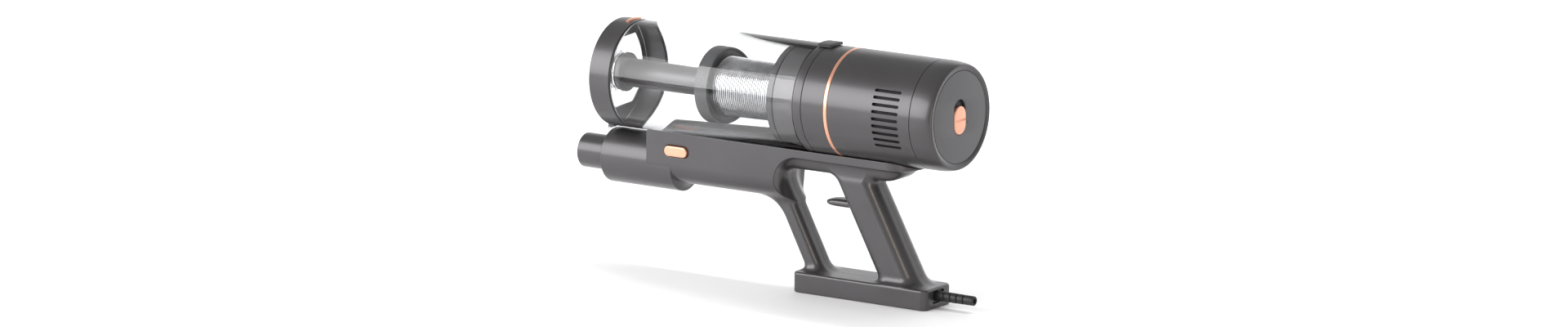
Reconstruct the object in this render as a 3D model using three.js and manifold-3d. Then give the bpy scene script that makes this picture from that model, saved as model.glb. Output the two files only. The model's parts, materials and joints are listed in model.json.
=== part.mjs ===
// Handheld vacuum with a see-through dust cup, a closed hand loop and a foot plate.
// Millimetres, +Z up, +X towards the motor end, -Y is the user's left-hand side.
// Everything is drawn round the barrel's axis (y = 0, z = 0) and moved to its place at the end,
// so that the origin is the middle of the whole object's underside.
import * as THREE from 'three';
import { mergeVertices } from 'three/addons/utils/BufferGeometryUtils.js';
import Module from 'manifold-3d';

const wasm = await Module();
wasm.setup();

// ---- Driving dimensions ----------------------------------------------------------------------

const GAP = 0.3;                 // clearance between touching pieces
const BARREL_R = 50;             // outside radius of motor housing, cup and rings
const BARREL_WALL = 2.5;
const BORE_R = BARREL_R - BARREL_WALL;
const BARREL_SIDES = 36;
const INNER_SIDES = 24;

const RING_FRONT = -230.6;       // cup's front ring
const RING_REAR = -208.4;
const RING_BORE_R = 47;
const CUP_FRONT = RING_REAR + 2;
const CUP_REAR = -5.6;
const END_RING = [-5.3, 3.5];    // opaque ring at the cup's rear
const HOUSING = [3.9, 120.5];
const ACCENT = [28.3, 31.8];
const CAP_FRONT = 120.8;
const CAP_RIM = 143.3;
const FACE = [140.1, 142.4];     // flat plate in the rear cap
const FACE_R = 42;

const VENT = { start: 80, length: 28.5, height: 2.9, pitch: 7.5, rows: 9 };

const SKIRT = [-123, -109];      // dark skirt at the cyclone's front
const SKIRT_R = 35.6;
const SCREEN_END = -29.4;
const SCREEN_R = 27.8;
const COLLAR_FRONT = -29;
const SEAL_FRONT = -36;
const COLLAR_R = 46.9;
const TUBE_R = 12.7;             // centre tube between cyclone and lid

const INLET_Z = -78;             // axis of inlet tube and sleeve
const INLET_R = 16;              // 32 mm inlet tube
const INLET_FRONT = -269;
const INLET_REAR = -166;
const SLEEVE_R = 25.3;
const SLEEVE = [-236, -157];

const WALL = 2.5;                // handle shells
const PANEL_Y = 25.5;            // half width of the beam and cradle
const BEAM = [-184, -38];
const BEAM_BOTTOM = -94;
const CRADLE_BOTTOM = -66;
const CRADLE_EDGE = -52.3;         // lower edge of the cradle's upright sides
const KEEL = { half: 15, corner: 5, end: 100, endZ: -53 };   // narrower hull under the cradle
const SCOOP = { x: -18, z: -77, r: 24.7 };   // hollow that ends the beam ahead of the strut
const TAIL_CENTRE = 78;          // centre of the cradle's round end
const FOOT = { x: [-25, 120], halfWidth: 21.5, z: [-177, -158.3], corner: 6 };
const STRUT = { x: -27.3, z: -121.5, lean: 0.52, half: 9.5, width: 24 };
const GRIP = { x: 58.4, z: -110.5, lean: 0.541, half: 21, width: 32 };
const RELIEF_END = 159;
const RELIEF_Z = -166.2;

const SLIDER = { width: 18.1, height: 26, slotWidth: 18.7, slotHeight: 32.4, rest: -2.9 };
const TRIGGER_PIVOT = [42, -92.5];
const BUTTON = { x: -150, z: -61.6, length: 25, height: 9.8, face: -28 };
const LID_HINGE = [-232.6, -48.8];
const CATCH_HINGE = [7.5, 48.2];
const SCREW_PLACES = [[-170, -57.6], [-80, -57.6], [-22.9, -130], [77, -145]];
const FOOT_SCREWS = [[-13, -12], [106, 12]];

// ---- Materials -------------------------------------------------------------------------------

const finish = (color, roughness, metalness, opacity = 1) => new THREE.MeshStandardMaterial({
  color, roughness, metalness, opacity, transparent: opacity < 1,
});
const GUNMETAL = finish(0x6f6d70, 0.38, 0.55);
const FACE_GREY = finish(0x767579, 0.5, 0.3);
const COPPER = finish(0xd08a68, 0.3, 0.8);
const CHARCOAL = finish(0x3f3f41, 0.5, 0.1);
const CLEAR = finish(0xe8edf0, 0.05, 0, 0.3);
const STEEL = finish(0xc9cacc, 0.25, 0.9);
const RUBBER = finish(0x161617, 0.8, 0);
const FOAM = finish(0x26262a, 0.95, 0);
const BOARD = finish(0x1e4d33, 0.6, 0);
const WHITE_PLASTIC = finish(0xd9d9d4, 0.5, 0);

// ---- Solid helpers ---------------------------------------------------------------------------

const axis = (x, y, z) => new THREE.Vector3(x, y, z);
const SPIN_ABOUT_X = new THREE.Matrix4().makeBasis(axis(0, 1, 0), axis(1, 0, 0), axis(0, 0, -1));
const SECTION_ALONG_X = new THREE.Matrix4().makeBasis(axis(0, 1, 0), axis(0, 0, 1), axis(1, 0, 0));
const SIDE_ALONG_Y = new THREE.Matrix4().makeBasis(axis(1, 0, 0), axis(0, 0, 1), axis(0, -1, 0));

// Signed volume of an indexed triangle mesh: negative when its faces point inwards.
function signedVolume(points, index) {
  const corner = (i) => axis(points[3 * index[i]], points[3 * index[i] + 1], points[3 * index[i] + 2]);
  let volume = 0;
  for (let i = 0; i < index.length; i += 3) {
    volume += corner(i).dot(corner(i + 1).cross(corner(i + 2))) / 6;
  }
  return volume;
}

function toSolid(geometry) {
  geometry.deleteAttribute('normal');
  geometry.deleteAttribute('uv');
  const welded = mergeVertices(geometry, 1e-4);
  const vertProperties = new Float32Array(welded.attributes.position.array);
  const triVerts = new Uint32Array(welded.index.array);
  if (signedVolume(vertProperties, triVerts) < 0) {
    for (let i = 0; i < triVerts.length; i += 3) {
      [triVerts[i], triVerts[i + 1]] = [triVerts[i + 1], triVerts[i]];
    }
  }
  return new wasm.Manifold(new wasm.Mesh({ numProp: 3, vertProperties, triVerts }));
}

function toGeometry(solid) {
  const mesh = solid.getMesh();
  const geometry = new THREE.BufferGeometry();
  geometry.setAttribute('position', new THREE.BufferAttribute(mesh.vertProperties, 3));
  geometry.setIndex(new THREE.BufferAttribute(mesh.triVerts, 1));
  geometry.computeVertexNormals();
  return geometry;
}

const join = (...solids) => solids.reduce((sum, solid) => sum.add(solid));
const cut = (solid, ...tools) => tools.reduce((rest, tool) => rest.subtract(tool), solid);
const moved = (solid, x, y, z) => solid.translate([x, y, z]);

// A profile of [x, radius] points turned about the barrel's axis, or about an axis at height z.
function turned(profile, z = 0, sides = BARREL_SIDES) {
  const onAxis = profile[0][1] === 0 && profile[profile.length - 1][1] === 0;
  const closed = onAxis ? profile : [...profile, profile[0]];
  const points = closed.map(([x, r]) => new THREE.Vector2(r, x));
  const geometry = new THREE.LatheGeometry(points, sides).applyMatrix4(SPIN_ABOUT_X);
  return toSolid(geometry.translate(0, 0, z));
}

const tube = ([x0, x1], inner, outer, z = 0, sides = BARREL_SIDES) =>
  turned([[x0, inner], [x0, outer], [x1, outer], [x1, inner]], z, sides);
const disc = ([x0, x1], radius, z = 0, sides = BARREL_SIDES) =>
  turned([[x0, 0], [x0, radius], [x1, radius], [x1, 0]], z, sides);

function block([x0, x1], [y0, y1], [z0, z1]) {
  const geometry = new THREE.BoxGeometry(x1 - x0, y1 - y0, z1 - z0);
  return toSolid(geometry.translate((x0 + x1) / 2, (y0 + y1) / 2, (z0 + z1) / 2));
}

// A round bar across the vacuum, from y0 to y1.
function crossBar(x, z, radius, y0, y1, sides = 12) {
  const geometry = new THREE.CylinderGeometry(radius, radius, y1 - y0, sides);
  return toSolid(geometry.translate(x, (y0 + y1) / 2, z));
}

// A round upright post, from z0 to z1.
function post(x, y, radius, z0, z1, sides = 12) {
  const geometry = new THREE.CylinderGeometry(radius, radius, z1 - z0, sides).rotateX(Math.PI / 2);
  return toSolid(geometry.translate(x, y, (z0 + z1) / 2));
}

// A polygon of [u, v, radius] corners with each corner rounded by an arc of that radius.
function rounded(corners, steps = 5) {
  const points = [];
  corners.forEach(([u, v, radius], i) => {
    const here = new THREE.Vector2(u, v);
    if (!radius) {
      points.push(here);
      return;
    }
    const before = corners[(i + corners.length - 1) % corners.length];
    const after = corners[(i + 1) % corners.length];
    const back = new THREE.Vector2(before[0] - u, before[1] - v).normalize();
    const ahead = new THREE.Vector2(after[0] - u, after[1] - v).normalize();
    const halfAngle = Math.acos(back.dot(ahead)) / 2;
    const bisector = back.clone().add(ahead).normalize();
    const centre = here.clone().addScaledVector(bisector, radius / Math.sin(halfAngle));
    const reach = radius / Math.tan(halfAngle);
    const start = here.clone().addScaledVector(back, reach).sub(centre);
    const end = here.clone().addScaledVector(ahead, reach).sub(centre);
    const sweep = Math.atan2(start.cross(end), start.dot(end));
    for (let k = 0; k <= steps; k += 1) {
      points.push(start.clone().rotateAround(new THREE.Vector2(), (sweep * k) / steps).add(centre));
    }
  });
  return points;
}

// The same outline drawn a distance inwards, for the hollow inside a shell.
function inset(points, distance) {
  if (!distance) return points;
  const winding = THREE.ShapeUtils.isClockWise(points) ? -1 : 1;
  return points.map((here, i) => {
    const before = points[(i + points.length - 1) % points.length];
    const after = points[(i + 1) % points.length];
    const into = here.clone().sub(before).normalize();
    const out = after.clone().sub(here).normalize();
    const normal = new THREE.Vector2(-into.y - out.y, into.x + out.x).normalize();
    const stretch = 1 / Math.max(0.4, normal.dot(new THREE.Vector2(-into.y, into.x)));
    return here.clone().addScaledVector(normal, distance * stretch * winding);
  });
}

function extruded(points, depth, edge = 0) {
  return new THREE.ExtrudeGeometry(new THREE.Shape(points), {
    depth: depth - 2 * edge,
    bevelEnabled: edge > 0,
    bevelThickness: edge,
    bevelSize: edge,
    bevelOffset: -edge,
    bevelSegments: 2,
  }).translate(0, 0, edge);
}

// An outline of (x, z) points given a width across the vacuum, centred on y = 0.
const sidePiece = (points, width, edge = 0) =>
  toSolid(extruded(points, width, edge).translate(0, 0, -width / 2).applyMatrix4(SIDE_ALONG_Y));
// An outline of (y, z) points run along the barrel from x0 to x1.
const sectionPiece = (points, [x0, x1]) =>
  toSolid(extruded(points, x1 - x0).applyMatrix4(SECTION_ALONG_X).translate(x0, 0, 0));
// An outline of (x, y) points raised from z0 to z1.
const planPiece = (points, [z0, z1], edge = 0) =>
  toSolid(extruded(points, z1 - z0, edge).translate(0, 0, z0));

const rectangle = ([u0, u1], [v0, v1], radius = 0, steps = 3) =>
  rounded([[u0, v0, radius], [u1, v0, radius], [u1, v1, radius], [u0, v1, radius]], steps);

// ---- Scene building --------------------------------------------------------------------------

const vacuum = new THREE.Group();

function add(name, solid, material) {
  const mesh = new THREE.Mesh(toGeometry(solid), material);
  mesh.name = name;
  vacuum.add(mesh);
}

// ---- Motor housing and rear end --------------------------------------------------------------

function ventCutters() {
  const cutters = [];
  const half = VENT.height / 2;
  const outline = rectangle([VENT.start, VENT.start + VENT.length], [-half, half], half * 0.98, 2);
  for (let row = 0; row < VENT.rows; row += 1) {
    const tilt = (row - (VENT.rows - 1) / 2) * VENT.pitch;
    for (const side of [1, -1]) {
      const slot = sidePiece(outline, 10);
      cutters.push(moved(slot, 0, side * (BARREL_R - 1), 0).rotate([tilt, 0, 0]));
    }
  }
  return cutters;
}

function motorHousing() {
  const [front, rear] = HOUSING;
  const bulkhead = [11, 13.5];
  const bulkheadHoleR = 34;
  const shell = turned([
    [front, BORE_R], [front, BARREL_R], [ACCENT[0] - GAP, BARREL_R], [ACCENT[0] - GAP, BARREL_R - 1],
    [ACCENT[1] + GAP, BARREL_R - 1], [ACCENT[1] + GAP, BARREL_R], [rear, BARREL_R], [rear, BORE_R],
    [bulkhead[1], BORE_R], [bulkhead[1], bulkheadHoleR], [bulkhead[0], bulkheadHoleR], [bulkhead[0], BORE_R],
  ]);
  const catchPocket = block([4.9, 10.2], [-7.4, 7.4], [44, 52]);
  const catchPinHole = crossBar(CATCH_HINGE[0], CATCH_HINGE[1], 1.15, -9.9, 9.9);
  const airPort = block([10, 15], [-10.6, 10.6], [-43.7, -33]);
  const riserHole = block([14.3, 25.7], [-10.7, 10.7], [-55, -40]);
  return cut(shell, ...ventCutters(), catchPocket, catchPinHole, airPort, riserHole);
}

function rearCap() {
  return turned([
    [CAP_FRONT, BARREL_R], [131, 49.8], [137.5, 49.1], [141.5, 48], [CAP_RIM, 46.4], [142.7, FACE_R + 0.4],
    [FACE[0] - GAP, FACE_R + 0.4], [FACE[0] - GAP, 39.6], [138.2, 39.6], [138.2, 45.2], [114.5, 45.2],
    [114.5, 47.1], [CAP_FRONT, 47.1],
  ]);
}

// A slot outline in (y, z), upright, with round ends.
function upright(width, height, centre) {
  const half = width / 2;
  return rectangle([-half, half], [centre - height / 2, centre + height / 2], half * 0.98);
}

function facePlate() {
  const slot = sectionPiece(upright(SLIDER.slotWidth, SLIDER.slotHeight, 0), [FACE[0] - 1, FACE[1] + 1]);
  return cut(disc(FACE, FACE_R), slot);
}

function speedSlider() {
  const button = sectionPiece(upright(SLIDER.width, SLIDER.height, SLIDER.rest), [138.5, 143]);
  const carriage = sectionPiece(rectangle([-12, 12], [-23, 17], 3), [137.6, FACE[0] - GAP]);
  const fingerGroove = block([142.5, 144], [-7.5, 7.5], [SLIDER.rest - 0.8, SLIDER.rest + 0.8]);
  return cut(join(button, carriage), fingerGroove);
}

add('motor_housing', motorHousing(), GUNMETAL);
add('accent_ring', tube(ACCENT, BARREL_R - 0.7, BARREL_R + 0.15), COPPER);
add('rear_cap', rearCap(), GUNMETAL);
add('rear_face_plate', facePlate(), FACE_GREY);
add('speed_slider', speedSlider(), COPPER);
add('speed_board', block([134, 135.6], [-14, 14], [-20, 20]), BOARD);

// ---- Motor -----------------------------------------------------------------------------------

const MOTOR = { can: [48, 94], canR: 30, shaftR: 3, bearingR: 6 };

function motorCan() {
  const [front, rear] = MOTOR.can;
  const hole = MOTOR.bearingR + GAP;
  return turned([
    [front, hole], [front, MOTOR.canR], [rear, MOTOR.canR], [rear, hole],
    [rear - 1.5, hole], [rear - 1.5, MOTOR.canR - 1.5], [front + 1.5, MOTOR.canR - 1.5], [front + 1.5, hole],
  ], 0, INNER_SIDES);
}

function impeller() {
  const bore = MOTOR.shaftR + 0.3;
  const hub = turned([[30, bore], [30, 7], [40, 33.5], [42, 33.5], [42, bore]], 0, INNER_SIDES);
  const blades = [];
  for (let i = 0; i < 9; i += 1) {
    blades.push(block([31, 41], [-0.6, 0.6], [8, 33]).rotate([i * 40, 0, 0]));
  }
  return join(hub, ...blades);
}

function fanShroud() {
  return turned([[27, 15], [27, 36.5], [45, 36.5], [45, 34.6], [28.8, 34.6], [28.8, 15]], 0, INNER_SIDES);
}

const bearing = (x0, x1) => tube([x0, x1], MOTOR.shaftR + 0.1, MOTOR.bearingR, 0, INNER_SIDES);
const rubberMount = (x0, x1) => tube([x0, x1], MOTOR.canR + GAP, BORE_R - GAP, 0, INNER_SIDES);

add('fan_shroud', fanShroud(), CHARCOAL);
add('motor_can', motorCan(), STEEL);
add('stator', tube([58, 84], 15, 28, 0, INNER_SIDES), COPPER);
add('rotor_core', tube([60, 82], MOTOR.shaftR + GAP, 14.2, 0, INNER_SIDES), STEEL);
add('motor_shaft', disc([29, 98], MOTOR.shaftR, 0, INNER_SIDES), STEEL);
add('impeller', impeller(), CHARCOAL);
add('front_bearing', bearing(47.5, 51), STEEL);
add('rear_bearing', bearing(91, 94.5), STEEL);
add('front_motor_mount', rubberMount(50, 55), RUBBER);
add('rear_motor_mount', rubberMount(66, 72), RUBBER);
add('exhaust_filter', tube([76, 112], 43.5, BORE_R - 0.4), FOAM);

// ---- Separator -------------------------------------------------------------------------------

function separatorCollar() {
  const shell = turned([
    [COLLAR_FRONT, SCREEN_R + 0.9], [COLLAR_FRONT, COLLAR_R], [END_RING[1], COLLAR_R],
    [END_RING[1], COLLAR_R - 2.4], [COLLAR_FRONT + 2, COLLAR_R - 2.4], [COLLAR_FRONT + 2, SCREEN_R + 0.9],
  ]);
  const airPort = block([COLLAR_FRONT - 1, COLLAR_FRONT + 3], [-10.5, 10.5], [-43.4, -35.6]);
  return cut(shell, airPort);
}

function cycloneSkirt() {
  const [front, rear] = SKIRT;
  return turned([
    [front, TUBE_R - 2], [front, SKIRT_R - 1], [front + 1, SKIRT_R], [rear, SKIRT_R], [rear, SCREEN_R + 1],
    [rear - 4, SCREEN_R + 1], [rear - 4, TUBE_R - 2],
  ], 0, INNER_SIDES);
}

function screenFrame() {
  const inner = SCREEN_R - 2.4;
  const outer = SCREEN_R - 1.2;
  const rings = [
    tube([-112.5, -108], inner, outer, 0, INNER_SIDES),
    tube([-34, SCREEN_END], inner, outer, 0, INNER_SIDES),
  ];
  const ribs = [];
  for (let i = 0; i < 6; i += 1) {
    ribs.push(block([-110, -32], [-1.2, 1.2], [inner + 0.1, outer - 0.1]).rotate([i * 60, 0, 0]));
  }
  return join(...rings, ...ribs);
}

function cycloneCone() {
  return turned([[-108, 10], [-108, 11.2], [-60, 23], [-34, 23], [-34, 21.8], [-60, 21.8]], 0, INNER_SIDES);
}

function preFilter() {
  const pleats = 28;
  const outline = [];
  for (let i = 0; i < 2 * pleats; i += 1) {
    const radius = i % 2 ? 32.5 : 28;
    const turn = (Math.PI * i) / pleats;
    outline.push(new THREE.Vector2(radius * Math.cos(turn), radius * Math.sin(turn)));
  }
  return sectionPiece(outline, [-14, 4]);
}

function centreTube() {
  return turned([
    [-222.8, TUBE_R - 2], [-222.8, 16], [-219, 17.2], [-216, 17.2], [-215, TUBE_R], [SKIRT[0] - GAP, TUBE_R],
    [SKIRT[0] - GAP, TUBE_R - 2],
  ], 0, INNER_SIDES);
}

add('separator_collar', separatorCollar(), GUNMETAL);
add('collar_seal', tube([SEAL_FRONT, COLLAR_FRONT - GAP], SCREEN_R + 0.9, COLLAR_R + 0.2), RUBBER);
add('cyclone_skirt', cycloneSkirt(), CHARCOAL);
add('mesh_screen', tube([SKIRT[1] - 3.7, SCREEN_END], SCREEN_R - 0.8, SCREEN_R), STEEL);
add('screen_frame', screenFrame(), CHARCOAL);
add('cyclone_cone', cycloneCone(), WHITE_PLASTIC);
add('pre_filter', preFilter(), WHITE_PLASTIC);
add('centre_tube', centreTube(), GUNMETAL);

// ---- Dust cup, lid and latches ---------------------------------------------------------------

const LATCH = { x: [-217.4, -213.6], halfWidth: 10, top: BARREL_R + 1.3 };

function frontRing() {
  const ring = tube([RING_FRONT, RING_REAR], RING_BORE_R, BARREL_R);
  const notchHalf = LATCH.halfWidth + 0.4;
  const latchNotch = block([LATCH.x[0] - 0.4, LATCH.x[1] + 0.4], [-notchHalf, notchHalf], [40, 52]);
  const lugs = [];
  for (const [y0, y1] of [[-13.2, -8.9], [8.9, 13.2]]) {
    lugs.push(crossBar(LID_HINGE[0], LID_HINGE[1], 2.3, y0, y1));
    lugs.push(block([LID_HINGE[0], RING_FRONT + 1], [y0, y1], [LID_HINGE[1] - 2.2, LID_HINGE[1] + 1.6]));
  }
  const pinHole = crossBar(LID_HINGE[0], LID_HINGE[1], 1.3, -14, 14);
  return cut(join(cut(ring, latchNotch), ...lugs), pinHole);
}

function lidFrame() {
  const outline = disc([RING_FRONT, -229], RING_BORE_R - 0.6);
  const opening = disc([-232, -228], 41).intersect(block([-233, -227], [-45, 45], [-32, 29]));
  const arm = join(
    block([LID_HINGE[0] - 0.4, RING_FRONT - 0.35], [-8.4, 8.4], [LID_HINGE[1], -42]),
    block([LID_HINGE[0] - 0.4, -229.4], [-8.4, 8.4], [-45.5, -42]),
    crossBar(LID_HINGE[0], LID_HINGE[1], 1.9, -8.4, 8.4),
  );
  const pinHole = crossBar(LID_HINGE[0], LID_HINGE[1], 1.3, -14, 14);
  return cut(join(cut(outline, opening), arm), pinHole);
}

function lidWindow() {
  const pane = disc([-228.7, -226.7], RING_BORE_R - 0.6);
  const seat = tube([-227, -223.2], 16.6, 18.4, 0, INNER_SIDES);
  return join(pane, seat);
}

function lidLatch() {
  const [x0, x1] = LATCH.x;
  const band = tube([x0, x1], BARREL_R - 2.8, LATCH.top);
  const tab = band.intersect(block([x0 - 1, x1 + 1], [-LATCH.halfWidth, LATCH.halfWidth], [40, 52]));
  const finger = block([-226.4, x1 - 0.5], [-5, 5], [44.2, 46.2]);
  const neck = block([x0 + 0.5, x1 - 0.5], [-5, 5], [44.2, 48.5]);
  return join(tab, finger, neck);
}

function cupCatch() {
  const rind = tube([-5, 9.6], BARREL_R + 0.45, BARREL_R + 3.2);
  const lever = rind.intersect(block([-6, 11], [-10, 10], [44, 54]));
  const knuckle = crossBar(CATCH_HINGE[0], CATCH_HINGE[1], 2.2, -7, 7);
  const neck = block([5.7, 9.3], [-7, 7], [CATCH_HINGE[1], 51]);
  const pinHole = crossBar(CATCH_HINGE[0], CATCH_HINGE[1], 1.2, -12, 12);
  return cut(join(lever, knuckle, neck), pinHole);
}

add('dust_cup', tube([CUP_FRONT, CUP_REAR], BORE_R, BARREL_R), CLEAR);
add('front_ring', frontRing(), GUNMETAL);
add('cup_gasket', tube([RING_REAR + GAP, CUP_FRONT - GAP], RING_BORE_R + 0.2, BARREL_R), RUBBER);
add('cup_end_ring', tube(END_RING, BORE_R, BARREL_R), GUNMETAL);
add('lid_frame', lidFrame(), CHARCOAL);
add('lid_window', lidWindow(), CLEAR);
add('lid_seal', tube([-226.4, -223.2], TUBE_R - 1, 16.2, 0, INNER_SIDES), RUBBER);
add('lid_hinge_pin', crossBar(LID_HINGE[0], LID_HINGE[1], 1, -12.9, 12.9), STEEL);
add('lid_latch', lidLatch(), COPPER);
add('cup_catch', cupCatch(), CHARCOAL);
add('catch_pin', crossBar(CATCH_HINGE[0], CATCH_HINGE[1], 0.9, -9.6, 9.6), STEEL);

// ---- Handle: sleeve, beam, cradle, strut, grip and foot ---------------------------------------

const leanX = (bar, z) => bar.x + bar.lean * (bar.z - z);

function strutOutline() {
  const top = leanX(STRUT, CRADLE_BOTTOM) + STRUT.half;
  const deck = FOOT.z[1];
  return rounded([
    [-80, -60, 0], [-80, BEAM_BOTTOM - 0.3, 0],
    [leanX(STRUT, BEAM_BOTTOM) - STRUT.half, BEAM_BOTTOM - 0.3, 35],
    [leanX(STRUT, deck) - STRUT.half, deck, 3],
    [-24.6, deck, 0], [-24.6, -170, 0], [28, -170, 0], [28, deck, 0],
    [leanX(STRUT, deck) + STRUT.half, deck, 16], [top, CRADLE_BOTTOM, 16], [0, CRADLE_BOTTOM, 0], [0, -60, 0],
  ]);
}

function gripOutline() {
  const deck = FOOT.z[1];
  return rounded([
    [0, -58, 0], [0, CRADLE_BOTTOM, 0], [leanX(GRIP, CRADLE_BOTTOM) - GRIP.half, CRADLE_BOTTOM, 7],
    [leanX(GRIP, deck) - GRIP.half, deck, 4], [48, deck, 0], [48, -170, 0], [118, -170, 0], [118, deck, 0],
    [leanX(GRIP, deck) + GRIP.half, deck, 14], [leanX(GRIP, -65) + GRIP.half, -65, 9],
    [76, -65, 0], [76, -58, 0],
  ]);
}

// The cradle's upright sides, with a rounded tail.
function railPiece() {
  const tailEnd = TAIL_CENTRE + PANEL_Y;
  const plan = rounded([[BEAM[1] - 10, -PANEL_Y, 0], [tailEnd, -PANEL_Y, PANEL_Y * 0.98],
    [tailEnd, PANEL_Y, PANEL_Y * 0.98], [BEAM[1] - 10, PANEL_Y, 0]], 8);
  return planPiece(plan, [CRADLE_EDGE, -30]);
}

function keelPiece(wall) {
  const half = KEEL.half - wall;
  const front = BEAM[1] - 10;
  const side = rounded([
    [front, -40, 0], [front, CRADLE_BOTTOM, 0], [74, CRADLE_BOTTOM, 20], [KEEL.end, KEEL.endZ, 0],
    [KEEL.end, -40, 0],
  ]);
  const section = rounded([
    [-half, -30, 0], [-half, CRADLE_BOTTOM + wall, KEEL.corner - wall],
    [half, CRADLE_BOTTOM + wall, KEEL.corner - wall], [half, -30, 0],
  ]);
  return sidePiece(inset(side, wall), 2 * half).intersect(sectionPiece(section, [front, KEEL.end + 1]));
}

// The whole handle as one form; a wall above 0 gives the hollow inside it.
function handleForm(wall) {
  const half = PANEL_Y - wall;
  const sleeveFront = wall ? SLEEVE[0] - 5 : SLEEVE[0];
  const sleeve = disc([sleeveFront, SLEEVE[1] - wall], SLEEVE_R - wall, INLET_Z);
  const beamSection = rounded([
    [-half, -30, 0], [-half, BEAM_BOTTOM + wall, 20 - wall],
    [half, BEAM_BOTTOM + wall, 20 - wall], [half, -30, 0],
  ]);
  const beamRear = wall ? BEAM[1] - wall : SCOOP.x;
  const beam = cut(sectionPiece(beamSection, [BEAM[0] + wall, beamRear]),
    crossBar(SCOOP.x, SCOOP.z, SCOOP.r + wall, -30, 30, INNER_SIDES));
  const cradle = wall ? keelPiece(wall) : join(railPiece(), keelPiece(0));
  const strut = sidePiece(inset(strutOutline(), wall), STRUT.width - 2 * wall, wall ? 0 : 2);
  const grip = sidePiece(inset(gripOutline(), wall), GRIP.width - 2 * wall, wall ? 0 : 2);
  const foot = planPiece(
    rectangle([FOOT.x[0] + wall, FOOT.x[1] - wall], [wall - FOOT.halfWidth, FOOT.halfWidth - wall],
      FOOT.corner - wall),
    [FOOT.z[0] + wall, FOOT.z[1] - wall],
  );
  const barrel = disc([-300, 200], BARREL_R + 0.4 + wall);
  return cut(join(sleeve, beam, cradle, strut, grip, foot), barrel);
}

// Screw posts: a plain post on the left side, a wider post for the head's well on the right side.
function screwPost([x, z], side) {
  return side < 0 ? crossBar(x, z, 3.4, -24, 0) : crossBar(x, z, 4, 0, 24);
}

function screwHole([x, z], side) {
  if (side < 0) return crossBar(x, z, 1.4, -12, 1);
  return join(crossBar(x, z, 1.5, -1, 9), crossBar(x, z, 2.8, 8, 30));
}

function handleShell(side) {
  const outer = handleForm(0);
  const split = side < 0
    ? block([-300, 200], [-60, -GAP / 2], [-200, 60])
    : block([-300, 200], [GAP / 2, 60], [-200, 60]);
  const pivotPosts = side < 0
    ? crossBar(TRIGGER_PIVOT[0], TRIGGER_PIVOT[1], 3.6, -15, -9.3)
    : crossBar(TRIGGER_PIVOT[0], TRIGGER_PIVOT[1], 3.6, 9.3, 15);
  const [footX, footY] = FOOT_SCREWS[side < 0 ? 0 : 1];
  const footPost = post(footX, footY, 3.4, -173.2, -159);
  const inside = join(...SCREW_PLACES.map((place) => screwPost(place, side)), pivotPosts, footPost,
    block([BUTTON.x - 4, BUTTON.x + 4], [-13.7, -11.5], [BUTTON.z - 3, -50]));   // spring rib
  const shell = join(cut(outer, handleForm(WALL)), inside.intersect(outer));
  const buttonLong = BUTTON.length / 2 + 0.4;
  const buttonTall = BUTTON.height / 2 + 0.4;
  const holes = [
    ...SCREW_PLACES.map((place) => screwHole(place, side)),
    post(footX, footY, 1.45, -178, -162),
    crossBar(TRIGGER_PIVOT[0], TRIGGER_PIVOT[1], 1.8, -13.3, 13.3),
    block([14, 39], [-9, 9], [-98.6, -84.5]),                          // trigger slot
    block([14.3, 25.7], [-10.7, 10.7], [-58, -45]),                    // riser duct through the cradle
    planPiece(rectangle([-20, 115], [-17, 17], 3), [-180, -174]),      // foot cover
    block([116, 122], [-8.6, 8.6], [-172.1, -160.8]),                  // cord socket
    sidePiece(rectangle(                                               // release button
      [BUTTON.x - buttonLong, BUTTON.x + buttonLong], [BUTTON.z - buttonTall, BUTTON.z + buttonTall], 4.9,
    ), 12).translate([0, -26, 0]),
  ];
  return cut(shell.intersect(split), ...holes);
}

function screw(headR, shankR, length) {
  const points = [[0, 0], [0, headR], [1.8, headR], [1.8, shankR], [length, shankR], [length, 0]];
  return new THREE.LatheGeometry(points.map(([h, r]) => new THREE.Vector2(r, h)), 10);
}

add('handle_shell_left', handleShell(-1), GUNMETAL);
add('handle_shell_right', handleShell(1), GUNMETAL);

SCREW_PLACES.forEach(([x, z], i) => {
  const body = toSolid(screw(2.5, 1.15, 20).rotateX(Math.PI).translate(x, 9.9, z));
  add(`handle_screw_${i + 1}`, body, STEEL);
});

// ---- Foot cover, cord socket and electrics -----------------------------------------------------

function footCover() {
  const plate = planPiece(rectangle([-19.7, 114.7], [-16.7, 16.7], 2.7), [FOOT.z[0], -173.5]);
  const holes = [];
  for (const [x, y] of FOOT_SCREWS) {
    holes.push(post(x, y, 1.6, -180, -170), post(x, y, 3, -180, FOOT.z[0] + 2.2));
  }
  return cut(plate, ...holes);
}

function strainRelief() {
  const profile = [[109, 2.4], [109, 5.1], [111.5, 5.1], [111.5, 4.7]];
  for (const x of [127, 134, 141]) {
    const r = 4.7 - (x - 120) * 0.01;
    profile.push([x, r], [x, r - 1], [x + 1.2, r - 1], [x + 1.2, r]);
  }
  profile.push([RELIEF_END, 4.3], [RELIEF_END, 2.4]);
  return turned(profile, RELIEF_Z, 12);
}

function cordGland() {
  const body = block([105, 118.2], [-8.3, 8.3], [-171.8, -161.1]);
  const seat = join(disc([104, 120], 5, RELIEF_Z, 12), disc([108.7, 111.8], 5.4, RELIEF_Z, 12));
  const opening = block([104, 111.8], [-4, 4], [-173, RELIEF_Z]);
  return cut(body, seat, opening);
}

add('foot_cover', footCover(), CHARCOAL);
FOOT_SCREWS.forEach(([x, y], i) => {
  const body = toSolid(screw(2.7, 1.15, 12).rotateX(Math.PI / 2).translate(x, y, FOOT.z[0] + 0.3));
  add(`foot_screw_${i + 1}`, body, STEEL);
});
add('strain_relief', strainRelief(), RUBBER);
add('cord_gland', cordGland(), RUBBER);
add('control_board', block([2, 92], [-15, 15], [-171, -169.4]), BOARD);

// ---- Air path under the barrel -----------------------------------------------------------------

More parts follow.
